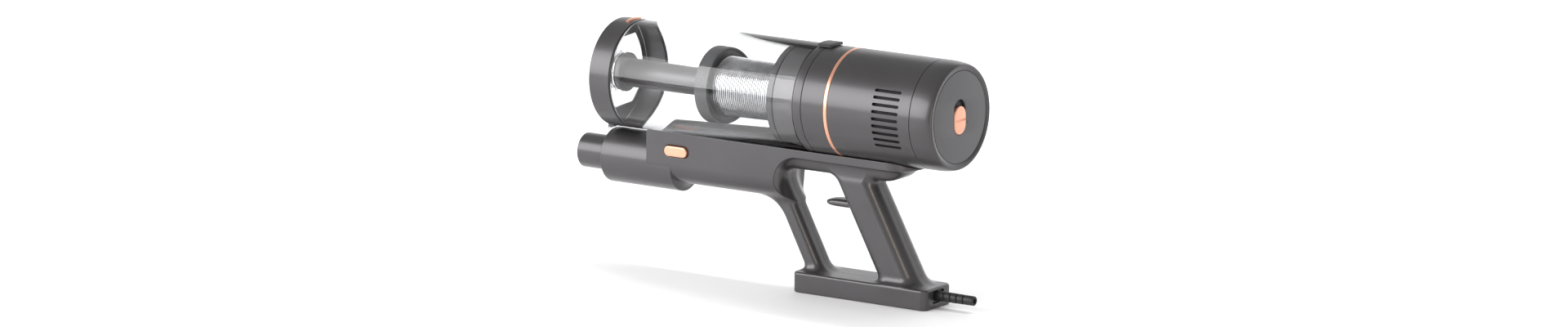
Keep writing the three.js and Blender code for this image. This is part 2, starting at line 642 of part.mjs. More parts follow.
function tubeSocket() {
  const inner = INLET_R + 0.4;
  const rim = SLEEVE_R - WALL - 0.4;
  return turned([
    [SLEEVE[0] + 0.1, inner], [SLEEVE[0] + 0.1, rim], [-232, rim], [-232, inner + 1.8], [-190, inner + 1.8],
    [-190, rim], [-187, rim], [-187, inner],
  ], INLET_Z, INNER_SIDES);
}

function inletTube() {
  return turned([
    [INLET_FRONT, INLET_R - 1.8], [INLET_FRONT, INLET_R - 0.5], [INLET_FRONT + 0.8, INLET_R],
    [INLET_REAR, INLET_R], [INLET_REAR, INLET_R - 1.8],
  ], INLET_Z, INNER_SIDES);
}

function riserDuct() {
  const outline = [
    [-61.7, -90.8], [-46, -63.1], [25, -63.1], [25, -35.8], [-26.6, -35.8], [-26.6, -43],
    [15, -43], [15, -53.5], [-50, -53.5], [-61.7, -60],
  ].map(([x, z]) => new THREE.Vector2(x, z));
  const hollow = sidePiece(inset(outline, 1.4), 17.2);
  const mouths = join(
    block([-63, -60], [-8.6, 8.6], [-87, -62]),
    block([-28, -24], [-8.6, 8.6], [-41.6, -37.2]),
  );
  return cut(sidePiece(outline, 20), hollow, mouths);
}

add('tube_socket', tubeSocket(), CHARCOAL);
add('inlet_tube', inletTube(), GUNMETAL);
add('inlet_duct', tube([INLET_REAR + 0.4, -62], 11.6, 13, INLET_Z, INNER_SIDES), CHARCOAL);
add('riser_duct', riserDuct(), CHARCOAL);

// ---- Trigger and release button ----------------------------------------------------------------

function trigger() {
  const [px, pz] = TRIGGER_PIVOT;
  const outline = rounded([
    [-2.6, -93.3, 1.4], [6, -90, 8], [20, -89, 8], [38, -88.6, 0], [px + 4, -88.6, 3.9],
    [px + 4, -96.4, 3.9], [38, -96.4, 0], [22, -96, 6], [7, -96.2, 8],
  ], 3);
  return cut(sidePiece(outline, 17, 1.2), crossBar(px, pz, 1.9, -20, 20));
}

function releaseButton() {
  const half = BUTTON.length / 2;
  const tall = BUTTON.height / 2;
  const cap = sidePiece(rectangle([BUTTON.x - half, BUTTON.x + half], [BUTTON.z - tall, BUTTON.z + tall],
    tall * 0.98), 6).translate([0, BUTTON.face + 3, 0]);
  const flange = block([BUTTON.x - half - 1.2, BUTTON.x + half + 1.2], [-22.5, -21],
    [BUTTON.z - tall - 1.2, BUTTON.z + tall + 1.2]);
  return join(cap, flange);
}

// A helical spring at its pressed length, drawn as the sleeve it fills.
const springAcross = (x, z, y0, y1) => cut(crossBar(x, z, 3, y0, y1), crossBar(x, z, 2.2, y0 - 1, y1 + 1));

add('trigger', trigger(), GUNMETAL);
add('trigger_pin', crossBar(TRIGGER_PIVOT[0], TRIGGER_PIVOT[1], 1.5, -13, 13), STEEL);
add('trigger_spring', cut(post(31.5, 4, 2.2, -86.8, -76.4), post(31.5, 4, 1.5, -89, -76)), STEEL);
add('trigger_switch', block([34, 46], [-6, 0], [-85.4, -76.4]), CHARCOAL);
add('switch_bracket', block([29, 50], [-12.9, 12.9], [-76, -74.4]), WHITE_PLASTIC);
add('tube_release_button', releaseButton(), COPPER);
add('button_spring', springAcross(BUTTON.x, BUTTON.z + 1, -18.2, -14), STEEL);

// ---- Placement -----------------------------------------------------------------------------------

vacuum.position.set(-(INLET_FRONT + RELIEF_END) / 2, 0, -FOOT.z[0]);

export default vacuum;
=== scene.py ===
"""Looks for a handheld vacuum with a see-through dust cup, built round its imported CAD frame.

Lengths below are millimetres in the barrel's own frame: x runs along the barrel from its rear joint
towards the motor end, z is up from the barrel's axis, and -y is the user's left-hand side.
"""
import json
import math

import bmesh
import bpy
import numpy as np
from mathutils import Matrix, Vector


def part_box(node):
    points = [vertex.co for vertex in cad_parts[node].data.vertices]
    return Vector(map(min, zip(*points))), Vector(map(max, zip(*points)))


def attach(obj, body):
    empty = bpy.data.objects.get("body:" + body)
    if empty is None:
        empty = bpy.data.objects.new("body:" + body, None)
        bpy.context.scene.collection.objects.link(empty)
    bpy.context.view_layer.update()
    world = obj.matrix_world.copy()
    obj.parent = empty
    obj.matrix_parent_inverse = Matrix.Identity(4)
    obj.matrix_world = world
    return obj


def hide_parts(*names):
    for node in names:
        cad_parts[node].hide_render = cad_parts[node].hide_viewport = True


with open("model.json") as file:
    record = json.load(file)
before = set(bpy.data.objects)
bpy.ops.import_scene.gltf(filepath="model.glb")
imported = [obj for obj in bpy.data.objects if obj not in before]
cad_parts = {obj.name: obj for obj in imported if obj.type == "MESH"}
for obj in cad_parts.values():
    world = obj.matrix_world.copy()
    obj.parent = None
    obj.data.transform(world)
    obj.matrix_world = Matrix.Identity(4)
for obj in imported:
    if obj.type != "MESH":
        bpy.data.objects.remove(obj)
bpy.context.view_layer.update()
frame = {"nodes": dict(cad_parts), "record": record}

MM = 0.001
END_RING_REAR = 3.5                       # x of the cup's rear face
SEAM_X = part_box("cup_end_ring")[1].x / MM - END_RING_REAR
AXIS_Z = sum(corner.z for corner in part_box("motor_can")) / 2 / MM
ORIGIN = np.array([SEAM_X, 0.0, AXIS_Z])


def span(node):
    """Lowest and highest corner of a CAD node, in the barrel's frame."""
    low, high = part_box(node)
    return np.array(low) / MM - ORIGIN, np.array(high) / MM - ORIGIN


def x_span(node):
    low, high = span(node)
    return float(low[0]), float(high[0])


def outer_radius(node):
    low, high = span(node)
    return float(high[1] - low[1]) / 2


BARREL_R = outer_radius("motor_housing")
WALL = 2.5
BORE_R = BARREL_R - WALL
INLET_R = outer_radius("inlet_tube")
INLET_Z = float(span("inlet_tube")[0][2]) + INLET_R
GRID = 0.75        # spacing of the samples that the handle is meshed from


# ---- Materials

class Shader:
    """A material's node tree round one Principled shader, with short calls for the usual nodes."""

    def __init__(self, name):
        self.material = bpy.data.materials.new(name)
        self.material.use_nodes = True
        self.tree = self.material.node_tree
        self.bsdf = self.tree.nodes["Principled BSDF"]
        self.coords = self.tree.nodes.new("ShaderNodeTexCoord").outputs["Object"]

    def link(self, source, target):
        self.tree.links.new(source, target)

    def set(self, **values):
        for name, value in values.items():
            self.bsdf.inputs[name.replace("_", " ")].default_value = value

    def noise(self, scale, detail=3.0, stretch=(1, 1, 1)):
        mapping = self.tree.nodes.new("ShaderNodeMapping")
        mapping.inputs["Scale"].default_value = stretch
        self.link(self.coords, mapping.inputs["Vector"])
        node = self.tree.nodes.new("ShaderNodeTexNoise")
        node.inputs["Scale"].default_value = scale
        node.inputs["Detail"].default_value = detail
        self.link(mapping.outputs["Vector"], node.inputs["Vector"])
        return node.outputs["Fac"]

    def spread(self, factor, low, high):
        node = self.tree.nodes.new("ShaderNodeMapRange")
        node.inputs["From Min"].default_value = 0.3
        node.inputs["From Max"].default_value = 0.7
        node.inputs["To Min"].default_value = low
        node.inputs["To Max"].default_value = high
        self.link(factor, node.inputs["Value"])
        return node.outputs["Result"]

    def tint(self, factor, dark, light):
        node = self.tree.nodes.new("ShaderNodeMix")
        node.data_type = "RGBA"
        node.inputs["A"].default_value = (*dark, 1)
        node.inputs["B"].default_value = (*light, 1)
        self.link(factor, node.inputs["Factor"])
        self.link(node.outputs["Result"], self.bsdf.inputs["Base Color"])
        return node

    def bump(self, height, strength, distance):
        node = self.tree.nodes.new("ShaderNodeBump")
        node.inputs["Strength"].default_value = strength
        node.inputs["Distance"].default_value = distance
        self.link(height, node.inputs["Height"])
        self.link(node.outputs["Normal"], self.bsdf.inputs["Normal"])


def moulded(name, colour, metallic, rough, coat=0.0, grain=0.05, variation=0.06):
    """Moulded plastic: a faint cloudiness in its colour, a fine eggshell grain and patchy gloss."""
    shader = Shader(name)
    flake = shader.noise(900, 2)
    cloud = shader.noise(14, 3)
    dark = [c * (1 - variation) for c in colour]
    light = [min(1, c * (1 + variation)) for c in colour]
    shader.tint(shader.spread(cloud, 0, 1), dark, light)
    shader.link(shader.spread(cloud, rough * 0.9, rough * 1.1), shader.bsdf.inputs["Roughness"])
    shader.bump(flake, grain, 0.00002)
    shader.set(Metallic=metallic, Coat_Weight=coat, Coat_Roughness=0.12)
    return shader.material


def clear_plastic(name, tint):
    """Clear polycarbonate that lets lamps through, with faint handling marks in its gloss."""
    shader = Shader(name)
    smear = shader.noise(30, 4, (0.3, 1, 1))
    shader.tint(shader.spread(shader.noise(8), 0, 1), [c * 0.99 for c in tint], tint)
    shader.link(shader.spread(smear, 0.0, 0.035), shader.bsdf.inputs["Roughness"])
    shader.set(Transmission_Weight=1.0, IOR=1.33)
    nodes = shader.tree.nodes
    lamps_through = nodes.new("ShaderNodeBsdfTransparent")
    lamps_through.inputs["Color"].default_value = (0.97, 0.97, 0.97, 1)
    path = nodes.new("ShaderNodeLightPath")
    mix = nodes.new("ShaderNodeMixShader")
    shader.link(path.outputs["Is Shadow Ray"], mix.inputs["Fac"])
    shader.link(shader.bsdf.outputs["BSDF"], mix.inputs[1])
    shader.link(lamps_through.outputs["BSDF"], mix.inputs[2])
    shader.link(mix.outputs["Shader"], nodes["Material Output"].inputs["Surface"])
    return shader.material


def brushed_metal(name, colour, rough, stretch=(1, 1, 60)):
    shader = Shader(name)
    brush = shader.noise(160, 2, stretch)
    dark = [c * 0.82 for c in colour]
    shader.tint(shader.spread(brush, 0, 1), dark, colour)
    shader.link(shader.spread(brush, rough * 0.8, rough * 1.3), shader.bsdf.inputs["Roughness"])
    shader.bump(brush, 0.08, 0.00002)
    shader.set(Metallic=1.0)
    return shader.material


def open_foam(name, colour):
    shader = Shader(name)
    cells = shader.tree.nodes.new("ShaderNodeTexVoronoi")
    cells.inputs["Scale"].default_value = 900
    shader.link(shader.coords, cells.inputs["Vector"])
    shader.tint(cells.outputs["Distance"], [c * 0.3 for c in colour], colour)
    shader.link(shader.spread(shader.noise(40), 0.85, 1.0), shader.bsdf.inputs["Roughness"])
    shader.bump(cells.outputs["Distance"], 0.7, 0.0004)
    return shader.material


def circuit_board(name):
    """Green solder mask with paler copper runs under it."""
    shader = Shader(name)
    runs = shader.tree.nodes.new("ShaderNodeTexBrick")
    runs.inputs["Scale"].default_value = 60
    runs.inputs["Mortar Size"].default_value = 0.06
    runs.inputs["Color1"].default_value = (0.01, 0.11, 0.04, 1)
    runs.inputs["Color2"].default_value = (0.01, 0.13, 0.05, 1)
    runs.inputs["Mortar"].default_value = (0.04, 0.26, 0.1, 1)
    shader.link(shader.coords, runs.inputs["Vector"])
    shader.link(runs.outputs["Color"], shader.bsdf.inputs["Base Color"])
    shader.link(shader.spread(shader.noise(80), 0.3, 0.45), shader.bsdf.inputs["Roughness"])
    return shader.material


def wound_copper(name):
    shader = Shader(name)
    wire = shader.tree.nodes.new("ShaderNodeTexWave")
    wire.inputs["Scale"].default_value = 260
    wire.inputs["Distortion"].default_value = 1.5
    shader.link(shader.coords, wire.inputs["Vector"])
    shader.tint(wire.outputs["Fac"], (0.2, 0.07, 0.03), (0.75, 0.33, 0.16))
    shader.link(shader.spread(shader.noise(60), 0.25, 0.4), shader.bsdf.inputs["Roughness"])
    shader.bump(wire.outputs["Fac"], 0.5, 0.0003)
    shader.set(Metallic=0.9)
    return shader.material


MATERIALS = {
    "gunmetal": moulded("gunmetal", (0.075, 0.072, 0.075), 0.6, 0.35, coat=0.2),
    "gunmetal_soft": moulded("gunmetal_soft", (0.08, 0.077, 0.08), 0.5, 0.42, coat=0.1),
    "face_grey": moulded("face_grey", (0.11, 0.11, 0.115), 0.2, 0.5, grain=0.08),
    "copper": moulded("copper", (0.8, 0.4, 0.27), 0.75, 0.3, coat=0.2, variation=0.03),
    "charcoal": moulded("charcoal", (0.04, 0.04, 0.042), 0.0, 0.42),
    "black": moulded("black", (0.008, 0.008, 0.009), 0.0, 0.5),
    "rubber": moulded("rubber", (0.012, 0.012, 0.013), 0.0, 0.5, grain=0.3, variation=0.15),
    "steel": brushed_metal("steel", (0.75, 0.75, 0.77), 0.22),
    "wire": brushed_metal("wire", (0.93, 0.93, 0.95), 0.2, (1, 1, 1)),
    "windings": wound_copper("windings"),
    "foam": open_foam("foam", (0.03, 0.03, 0.034)),
    "board": circuit_board("board"),
    "white_plastic": moulded("white_plastic", (0.66, 0.66, 0.63), 0.0, 0.45),
    "clear": clear_plastic("clear", (0.98, 0.985, 0.99)),
    "floor": moulded("floor", (0.93, 0.93, 0.94), 0.0, 0.6, grain=0.02, variation=0.01),
}
# The record's material slots that CAD nodes keep, and the looks that go with them.
SLOT_LOOKS = {
    "gunmetal": "gunmetal", "face_grey": "face_grey", "copper_trim": "copper", "charcoal": "charcoal",
    "clear": "clear", "steel": "steel", "windings": "windings", "rubber": "rubber", "foam": "foam",
    "board": "board", "white_plastic": "white_plastic",
}
LOOK_SLOTS = {look: slot for slot, look in SLOT_LOOKS.items()}
LOOK_SLOTS.update(gunmetal_soft="gunmetal", black="rubber", wire="steel")


# ---- Outlines

def rounded(corners, steps=8):
    """A polygon of (u, v, radius) corners with each corner rounded by an arc of that radius."""
    points = []
    count = len(corners)
    for i, (u, v, radius) in enumerate(corners):
        here = np.array([u, v], float)
        if not radius:
            points.append(here)
            continue
        back = np.array(corners[i - 1][:2], float) - here
        ahead = np.array(corners[(i + 1) % count][:2], float) - here
        back /= np.linalg.norm(back)
        ahead /= np.linalg.norm(ahead)
        half = math.acos(float(np.clip(back @ ahead, -1, 1))) / 2
        bisector = (back + ahead) / np.linalg.norm(back + ahead)
        centre = here + bisector * radius / math.sin(half)
        start = here + back * radius / math.tan(half) - centre
        end = here + ahead * radius / math.tan(half) - centre
        sweep = math.atan2(start[0] * end[1] - start[1] * end[0], start @ end)
        for k in range(steps + 1):
            turn = sweep * k / steps
            cos, sin = math.cos(turn), math.sin(turn)
            points.append(centre + [start[0] * cos - start[1] * sin, start[0] * sin + start[1] * cos])
    return np.array(points)


def rectangle(u_range, v_range, radius, steps=8):
    (u0, u1), (v0, v1) = u_range, v_range
    return rounded([(u0, v0, radius), (u1, v0, radius), (u1, v1, radius), (u0, v1, radius)], steps)


def circle(radius, count, centre=(0, 0)):
    turn = np.linspace(0, 2 * np.pi, count, endpoint=False)
    return np.stack([centre[0] + radius * np.cos(turn), centre[1] + radius * np.sin(turn)], 1)


# ---- Mesh helpers

SMOOTH_BELOW = math.radians(32)


def new_object(name, points, faces, smooth=SMOOTH_BELOW):
    """A mesh object from points in the barrel's frame."""
    mesh = bpy.data.meshes.new(name)
    placed = (np.asarray(points, float) + ORIGIN) * MM
    mesh.from_pydata(placed.tolist(), [], [list(map(int, face)) for face in faces])
    outward(mesh)
    mesh.shade_smooth()
    if smooth is not None:
        mesh.set_sharp_from_angle(angle=smooth)
    thing = bpy.data.objects.new(name, mesh)
    bpy.context.scene.collection.objects.link(thing)
    return thing


def outward(mesh):
    work = bmesh.new()
    work.from_mesh(mesh)
    bmesh.ops.recalc_face_normals(work, faces=work.faces)
    work.to_mesh(mesh)
    work.free()


def finish_piece(thing, look, body, replaces=()):
    """Gives a piece its material, the body it rides on and the CAD nodes that it stands for."""
    thing.data.materials.clear()
    thing.data.materials.append(MATERIALS[look])
    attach(thing, body)
    if replaces:
        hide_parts(*replaces)
    return thing


def turned(name, profile, z=0.0, sides=160, smooth=SMOOTH_BELOW):
    """A closed profile of (x, radius) points turned about the barrel's axis, or one at height z."""
    profile = np.asarray(profile, float)
    turn = np.linspace(0, 2 * np.pi, sides, endpoint=False)
    x = np.repeat(profile[None, :, 0], sides, 0)
    y = profile[None, :, 1] * np.cos(turn)[:, None]
    up = profile[None, :, 1] * np.sin(turn)[:, None] + z
    points = np.stack([x, y, up], 2).reshape(-1, 3)
    count = len(profile)
    faces = []
    for i in range(sides):
        for j in range(count):
            after, next_side = (j + 1) % count, (i + 1) % sides
            faces.append((i * count + j, i * count + after, next_side * count + after, next_side * count + j))
    return new_object(name, points, faces, smooth)


def ring_profile(x0, x1, inner, outer, edge=0.5, inner_edge=0.3):
    return rounded([
        (x0, inner, inner_edge), (x0, outer, edge), (x1, outer, edge), (x1, inner, inner_edge),
    ], 5)


# How a flat outline's u, v and its normal lie in the barrel's frame.
ACROSS = Matrix(((0, 0, 1), (1, 0, 0), (0, 1, 0)))       # u along y, v along z, depth along x
SIDEWAYS = Matrix(((1, 0, 0), (0, 0, 1), (0, 1, 0)))     # u along x, v along z, depth along y
PLAN = Matrix(((1, 0, 0), (0, 1, 0), (0, 0, 1)))         # u along x, v along y, depth along z


def plate(name, outlines, depth_range, basis, edge=0.4, steps=3):
    """A plate with rounded edges; outlines after the first are holes through it."""
    low, high = depth_range
    curve = bpy.data.curves.new(name, "CURVE")
    curve.dimensions = "2D"
    curve.fill_mode = "BOTH"
    curve.extrude = (high - low) / 2 - edge
    curve.bevel_depth = edge
    curve.bevel_resolution = steps
    curve.offset = -edge
    for outline in outlines:
        spline = curve.splines.new("POLY")
        spline.points.add(len(outline) - 1)
        for point, (u, v) in zip(spline.points, outline):
            point.co = (u, v, 0, 1)
        spline.use_cyclic_u = True
    drawn = bpy.data.objects.new(name, curve)
    bpy.context.scene.collection.objects.link(drawn)
    bpy.context.view_layer.update()
    mesh = bpy.data.meshes.new_from_object(drawn.evaluated_get(bpy.context.evaluated_depsgraph_get()))
    bpy.data.objects.remove(drawn)
    bpy.data.curves.remove(curve)
    weld(mesh)
    points = np.array([v.co for v in mesh.vertices]).reshape(-1, 3)
    points[:, 2] += (low + high) / 2
    faces = [list(p.vertices) for p in mesh.polygons]
    bpy.data.meshes.remove(mesh)
    return new_object(name, points @ np.array(basis).T, faces)


def weld(mesh, distance=0.001):
    work = bmesh.new()
    work.from_mesh(mesh)
    bmesh.ops.remove_doubles(work, verts=work.verts, dist=distance)
    work.to_mesh(mesh)
    work.free()


def merged(name, things):
    """Several pieces as one object, so that a set of alike pieces is one name."""
    work = bmesh.new()
    for thing in things:
        work.from_mesh(thing.data)
    mesh = bpy.data.meshes.new(name)
    work.to_mesh(mesh)
    work.free()
    mesh.shade_smooth()
    mesh.set_sharp_from_angle(angle=SMOOTH_BELOW)
    for thing in things:
        bpy.data.objects.remove(thing)
    joined = bpy.data.objects.new(name, mesh)
    bpy.context.scene.collection.objects.link(joined)
    return joined


def cut(thing, cutter):
    """Cuts one object out of another and removes the cutter."""
    modifier = thing.modifiers.new("cut", "BOOLEAN")
    modifier.operation = "DIFFERENCE"
    modifier.solver = "EXACT"
    modifier.object = cutter
    bpy.context.view_layer.update()
    result = bpy.data.meshes.new_from_object(thing.evaluated_get(bpy.context.evaluated_depsgraph_get()))
    thing.modifiers.clear()
    thing.data = result
    bpy.data.objects.remove(cutter)
    return thing


def round_shading(thing, z=0.0, tilt_limit=0.9):
    """After a cut: corners on a turned surface take the turned surface's own normal."""
    mesh = thing.data
    axis = (ORIGIN + [0, 0, z]) * MM
    normals = []
    for face in mesh.polygons:
        for index in face.vertices:
            point = mesh.vertices[index].co
            radial = Vector((0, point.y - axis[1], point.z - axis[2])).normalized()
            lean = face.normal.dot(radial)
            if abs(lean) > tilt_limit:
                along = face.normal.x
                normals.append((Vector((along, 0, 0)) + radial * lean).normalized())
            else:
                normals.append(face.normal)
    mesh.normals_split_custom_set(normals)


def dome_profile(start, end, steps=10):
    """Points of a quarter ellipse from one (x, radius) to another, leaving the first along x."""
    (x0, r0), (x1, r1) = start, end
    turns = np.linspace(0, np.pi / 2, steps + 1)
    return [(x0 + (x1 - x0) * math.sin(t), r1 + (r0 - r1) * math.cos(t)) for t in turns]


# ---- Camera, lights and floor

CAMERA_AZIMUTH = 34.589
CAMERA_ELEVATION = 11.881
CAMERA_DISTANCE = 7.9
CAMERA_LENS = 200.0
AIM = np.array([-48.5, 0.0, -65.0])       # the point in the middle of the picture


def add_camera():
    """The viewing angle is the true one, found with the picture's width put right: the picture to
    match is stretched 2.7 times in width. Its 1920 by 400 frame squeezed to 711 by 400 compares
    with the middle of this camera's frame."""
    azimuth, elevation = math.radians(CAMERA_AZIMUTH), math.radians(CAMERA_ELEVATION)
    back = Vector((
        math.sin(azimuth) * math.cos(elevation),
        -math.cos(azimuth) * math.cos(elevation),
        math.sin(elevation),
    ))
    camera = bpy.data.objects.new("camera", bpy.data.cameras.new("camera"))
    camera.data.lens = CAMERA_LENS
    camera.data.sensor_width = 36
    camera.data.clip_end = 100
    camera.location = Vector((ORIGIN + AIM) * MM) + back * CAMERA_DISTANCE
    camera.rotation_mode = "QUATERNION"
    camera.rotation_quaternion = (-back).to_track_quat("-Z", "Y")
    bpy.context.scene.collection.objects.link(camera)
    bpy.context.scene.camera = camera


def add_light(name, place, target, size, power, colour=(1, 1, 1)):
    lamp = bpy.data.lights.new(name, "AREA")
    lamp.shape = "RECTANGLE"
    lamp.size, lamp.size_y = size
    lamp.energy = power
    lamp.color = colour
    thing = bpy.data.objects.new(name, lamp)
    thing.visible_camera = False
    thing.location = place
    aim = Vector(target) - Vector(place)
    thing.rotation_mode = "QUATERNION"
    thing.rotation_quaternion = aim.to_track_quat("-Z", "Y")
    bpy.context.scene.collection.objects.link(thing)
    return thing


def add_studio():
    world = bpy.data.worlds.new("studio")
    world.use_nodes = True
    world.node_tree.nodes["Background"].inputs["Color"].default_value = (1, 1, 1, 1)
    world.node_tree.nodes["Background"].inputs["Strength"].default_value = 0.42
    bpy.context.scene.world = world
    middle = (0, 0, 0.12)
    add_light("key", (-0.77, -1.05, 0.62), middle, (1.6, 0.9), 24)
    add_light("warm_strip", (1.12, -1.2, 0.28), middle, (0.2, 1.2), 7, (1.0, 0.87, 0.74))
    wash = add_light("backdrop_wash", (0, 1.2, 3.6), (0, 6, 0.8), (6, 2), 420)
    wash.visible_glossy = False
    wash.visible_transmission = False
    bpy.context.scene.view_settings.view_transform = "Standard"


def add_floor():
    """A pale sheet that runs back and curves up into a backdrop."""
    half_width, front, bend, radius, top = 8.0, -6.0, 4.0, 2.0, 5.0
    profile = [(front, 0.0)]
    for t in np.linspace(0, np.pi / 2, 12):
        profile.append((bend + radius * math.sin(t), radius * (1 - math.cos(t))))
    profile.append((bend + radius, top))
    points = [(x, y, z) for y, z in profile for x in (-half_width, half_width)]
    faces = [(2 * i, 2 * i + 1, 2 * i + 3, 2 * i + 2) for i in range(len(profile) - 1)]
    mesh = bpy.data.meshes.new("floor")
    mesh.from_pydata([(x, y, z - 0.0002) for x, y, z in points], [], faces)
    mesh.shade_smooth()
    floor = bpy.data.objects.new("floor", mesh)
    floor.data.materials.append(MATERIALS["floor"])
    bpy.context.scene.collection.objects.link(floor)


# ---- Handle, drawn as a distance field

SLEEVE_R = 25.3
SLEEVE_FRONT = -236.0
SLEEVE_REAR = -157.0
SLEEVE_SCOOP_R = 9.3                      # hollow round that the sleeve's rear end runs out in
BEAM_FRONT = -184.0
BEAM_HALF = 25.5
BEAM_BOTTOM = -94.0
BEAM_CORNER = 20.0
RAIL_TOP = -44.5
RAIL_EDGE = -52.3                         # lower edge of the cradle's upright sides
SCOOP_X, SCOOP_Z, SCOOP_R = -18.0, -77.0, 24.7     # hollow that ends the beam ahead of the strut
CRADLE_BOTTOM = -66.0
KEEL_HALF = 15.0
KEEL_CORNER = 8.0
KEEL_RISE_X, KEEL_TIP_X, KEEL_TIP_Z = 66.0, 97.0, -53.0
TAIL_CENTRE = 78.0
TROUGH_R = BARREL_R + 0.4
FOOT_BLEND, KEEL_BLEND, RAIL_BLEND = 9.0, 7.0, 8.0     # widths of the hollow rounds between bodies
FADE_START, FADE_LENGTH = -75.0, 30.0     # x over which the rail's blend fades in
STRUT_SINK = 7.0                          # how deep the root of the strut sits inside the keel
FOOT_X = (-25.0, 120.0)
FOOT_HALF = 21.5
FOOT_Z = (-177.0, -158.3)
STRUT = {"x": -27.3, "z": -121.5, "lean": 0.52, "half": 9.5, "half_width": 12.0, "corner": 7.0}
GRIP = {"x": 58.4, "z": -110.5, "lean": 0.541, "half": 21.0, "half_width": 16.0, "corner": 11.5}
BUTTON_X, BUTTON_Z = -150.0, -61.6
BUTTON_LENGTH, BUTTON_HEIGHT = 25.0, 9.8
SCREW_PLACES = ((-170, -57.6), (-80, -57.6), (-22.9, -130), (77, -145))


def soft_min(a, b, k):
    h = np.clip(0.5 + 0.5 * (b - a) / k, 0, 1)
    return b + (a - b) * h - k * h * (1 - h)


def soft_max(a, b, k):
    return -soft_min(-a, -b, k)


def box_corner(a, b, radius):
    """Where two half spaces meet, with the edge between them rounded."""
    qa, qb = a + radius, b + radius
    outside = np.hypot(np.maximum(qa, 0), np.maximum(qb, 0))
    return outside + np.minimum(np.maximum(qa, qb), 0) - radius


def slab(value, low, high):
    return np.maximum(low - value, value - high)


def outline_distance(points, u, v):
    """Signed distance from (u, v) to a closed outline, below zero inside it."""
    distance = np.full(u.shape, 1e9)
    inside = np.zeros(u.shape, bool)
    for (u0, v0), (u1, v1) in zip(points, np.roll(points, -1, 0)):
        du, dv = u1 - u0, v1 - v0
        along = np.clip(((u - u0) * du + (v - v0) * dv) / (du * du + dv * dv), 0, 1)
        distance = np.minimum(distance, (u - u0 - along * du) ** 2 + (v - v0 - along * dv) ** 2)
        crosses = (v0 > v) != (v1 > v)
        if dv:
            inside ^= crosses & (u < (v - v0) / dv * du + u0)
    return np.where(inside, -1, 1) * np.sqrt(distance)


def lean_x(bar, z, side=0):
    return bar["x"] + bar["lean"] * (bar["z"] - z) + side * bar["half"]


def strut_outline():
    deck, low = FOOT_Z[1], -168.0
    root = CRADLE_BOTTOM + STRUT_SINK            # inside the keel, so the two undersides don't coincide
    return rounded([
        (-80, -70, 0), (-80, BEAM_BOTTOM, 0), (lean_x(STRUT, BEAM_BOTTOM, -1), BEAM_BOTTOM, 35),
        (lean_x(STRUT, low, -1), low, 0), (lean_x(STRUT, low, 1), low, 0), (lean_x(STRUT, deck, 1), deck, 0),
        (lean_x(STRUT, root, 1), root, 14), (0, root, 0), (0, -56, 0), (-60, -56, 0),
    ], 10)


def grip_outline():
    low = -168.0
    return rounded([
        (lean_x(GRIP, low, -1), low, 0), (lean_x(GRIP, -60, -1), -60, 0),
        (lean_x(GRIP, -60, 1), -60, 0), (lean_x(GRIP, low, 1), low, 0),
    ])


def sleeve_field(x, y, z):
    radius = np.hypot(y, z - INLET_Z)
    scoop_x = SLEEVE_REAR + SLEEVE_SCOOP_R
    body = box_corner(radius - SLEEVE_R, SLEEVE_FRONT - x, 0.6)
    body = np.maximum(body, x - scoop_x)
    scoop = SLEEVE_SCOOP_R - np.hypot(x - scoop_x, radius - SLEEVE_R)
    return soft_max(body, np.where(x < scoop_x + 0.01, scoop, SLEEVE_SCOOP_R), 0.7)


def wide_field(x, y, z):
    """The beam and the cradle's upright sides: one body with a round tail and a scooped rear."""
    plan = np.hypot(np.maximum(x - TAIL_CENTRE, 0), y) - BEAM_HALF
    section = box_corner(plan, BEAM_BOTTOM - z, BEAM_CORNER)
    body = soft_max(section, box_corner(BEAM_FRONT - x, z - RAIL_TOP, 3.0), 0.5)
    beside_scoop = SCOOP_R - np.hypot(x - SCOOP_X, z - SCOOP_Z)
    return soft_max(body, np.where(x < SCOOP_X, beside_scoop, RAIL_EDGE - z), 0.9)


def keel_field(x, y, z):
    """The narrower hull under the cradle, rising to its tip at the rear."""
    rise = np.clip((x - KEEL_RISE_X) / (KEEL_TIP_X - KEEL_RISE_X), 0, 1.2) ** 2
    under = (CRADLE_BOTTOM + (KEEL_TIP_Z - CRADLE_BOTTOM) * rise - z) * 0.9
    plan = np.hypot(np.maximum(x - (KEEL_TIP_X - KEEL_HALF), 0), y) - KEEL_HALF
    return np.maximum(box_corner(plan, under, KEEL_CORNER), -46.0 - x)


def bar_field(side_distance, y, bar):
    return box_corner(side_distance, np.abs(y) - bar["half_width"], bar["corner"])


def foot_field(x, y, z):
    corner = 6.0
    plan = box_corner(slab(x, *FOOT_X), np.abs(y) - FOOT_HALF, corner)
    top = box_corner(plan, z - FOOT_Z[1], 2.2)
    return box_corner(top, FOOT_Z[0] - z, 1.2)


def openings_field(x, y, z, side):
    """The slots, wells and recesses cut through the handle's outside, below zero in the opening."""
    bore = np.maximum(np.hypot(y, z - INLET_Z) - (SLEEVE_R - WALL), x - (BEAM_FRONT + 6))
    slot = box_corner(slab(x, 8, 39), np.abs(y) - 9, 1.5)
    trigger = np.maximum(slot, slab(z, -98.6, -84.5))
    socket = np.maximum(box_corner(slab(z, -172.1, -160.8), np.abs(y) - 8.6, 1.2), 115.0 - x)
    cover = box_corner(slab(x, -20, 115), np.abs(y) - 17, 3.0)
    cover = np.maximum(cover, z + 173.4)
    cuts = np.minimum(np.minimum(bore, trigger), np.minimum(socket, cover))
    if side < 0:
        half_length, half_height = BUTTON_LENGTH / 2 + 0.6, BUTTON_HEIGHT / 2 + 0.6
        round_end = half_height - 0.01
        recess = box_corner(np.abs(x - BUTTON_X) - half_length, np.abs(z - BUTTON_Z) - half_height, round_end)
        cuts = np.minimum(cuts, np.maximum(recess, y + 22.0))
    else:
        for screw_x, screw_z in SCREW_PLACES:
            well = np.maximum(np.hypot(x - screw_x, z - screw_z) - 2.9, 8.0 - y)
            cuts = np.minimum(cuts, well)
    return cuts


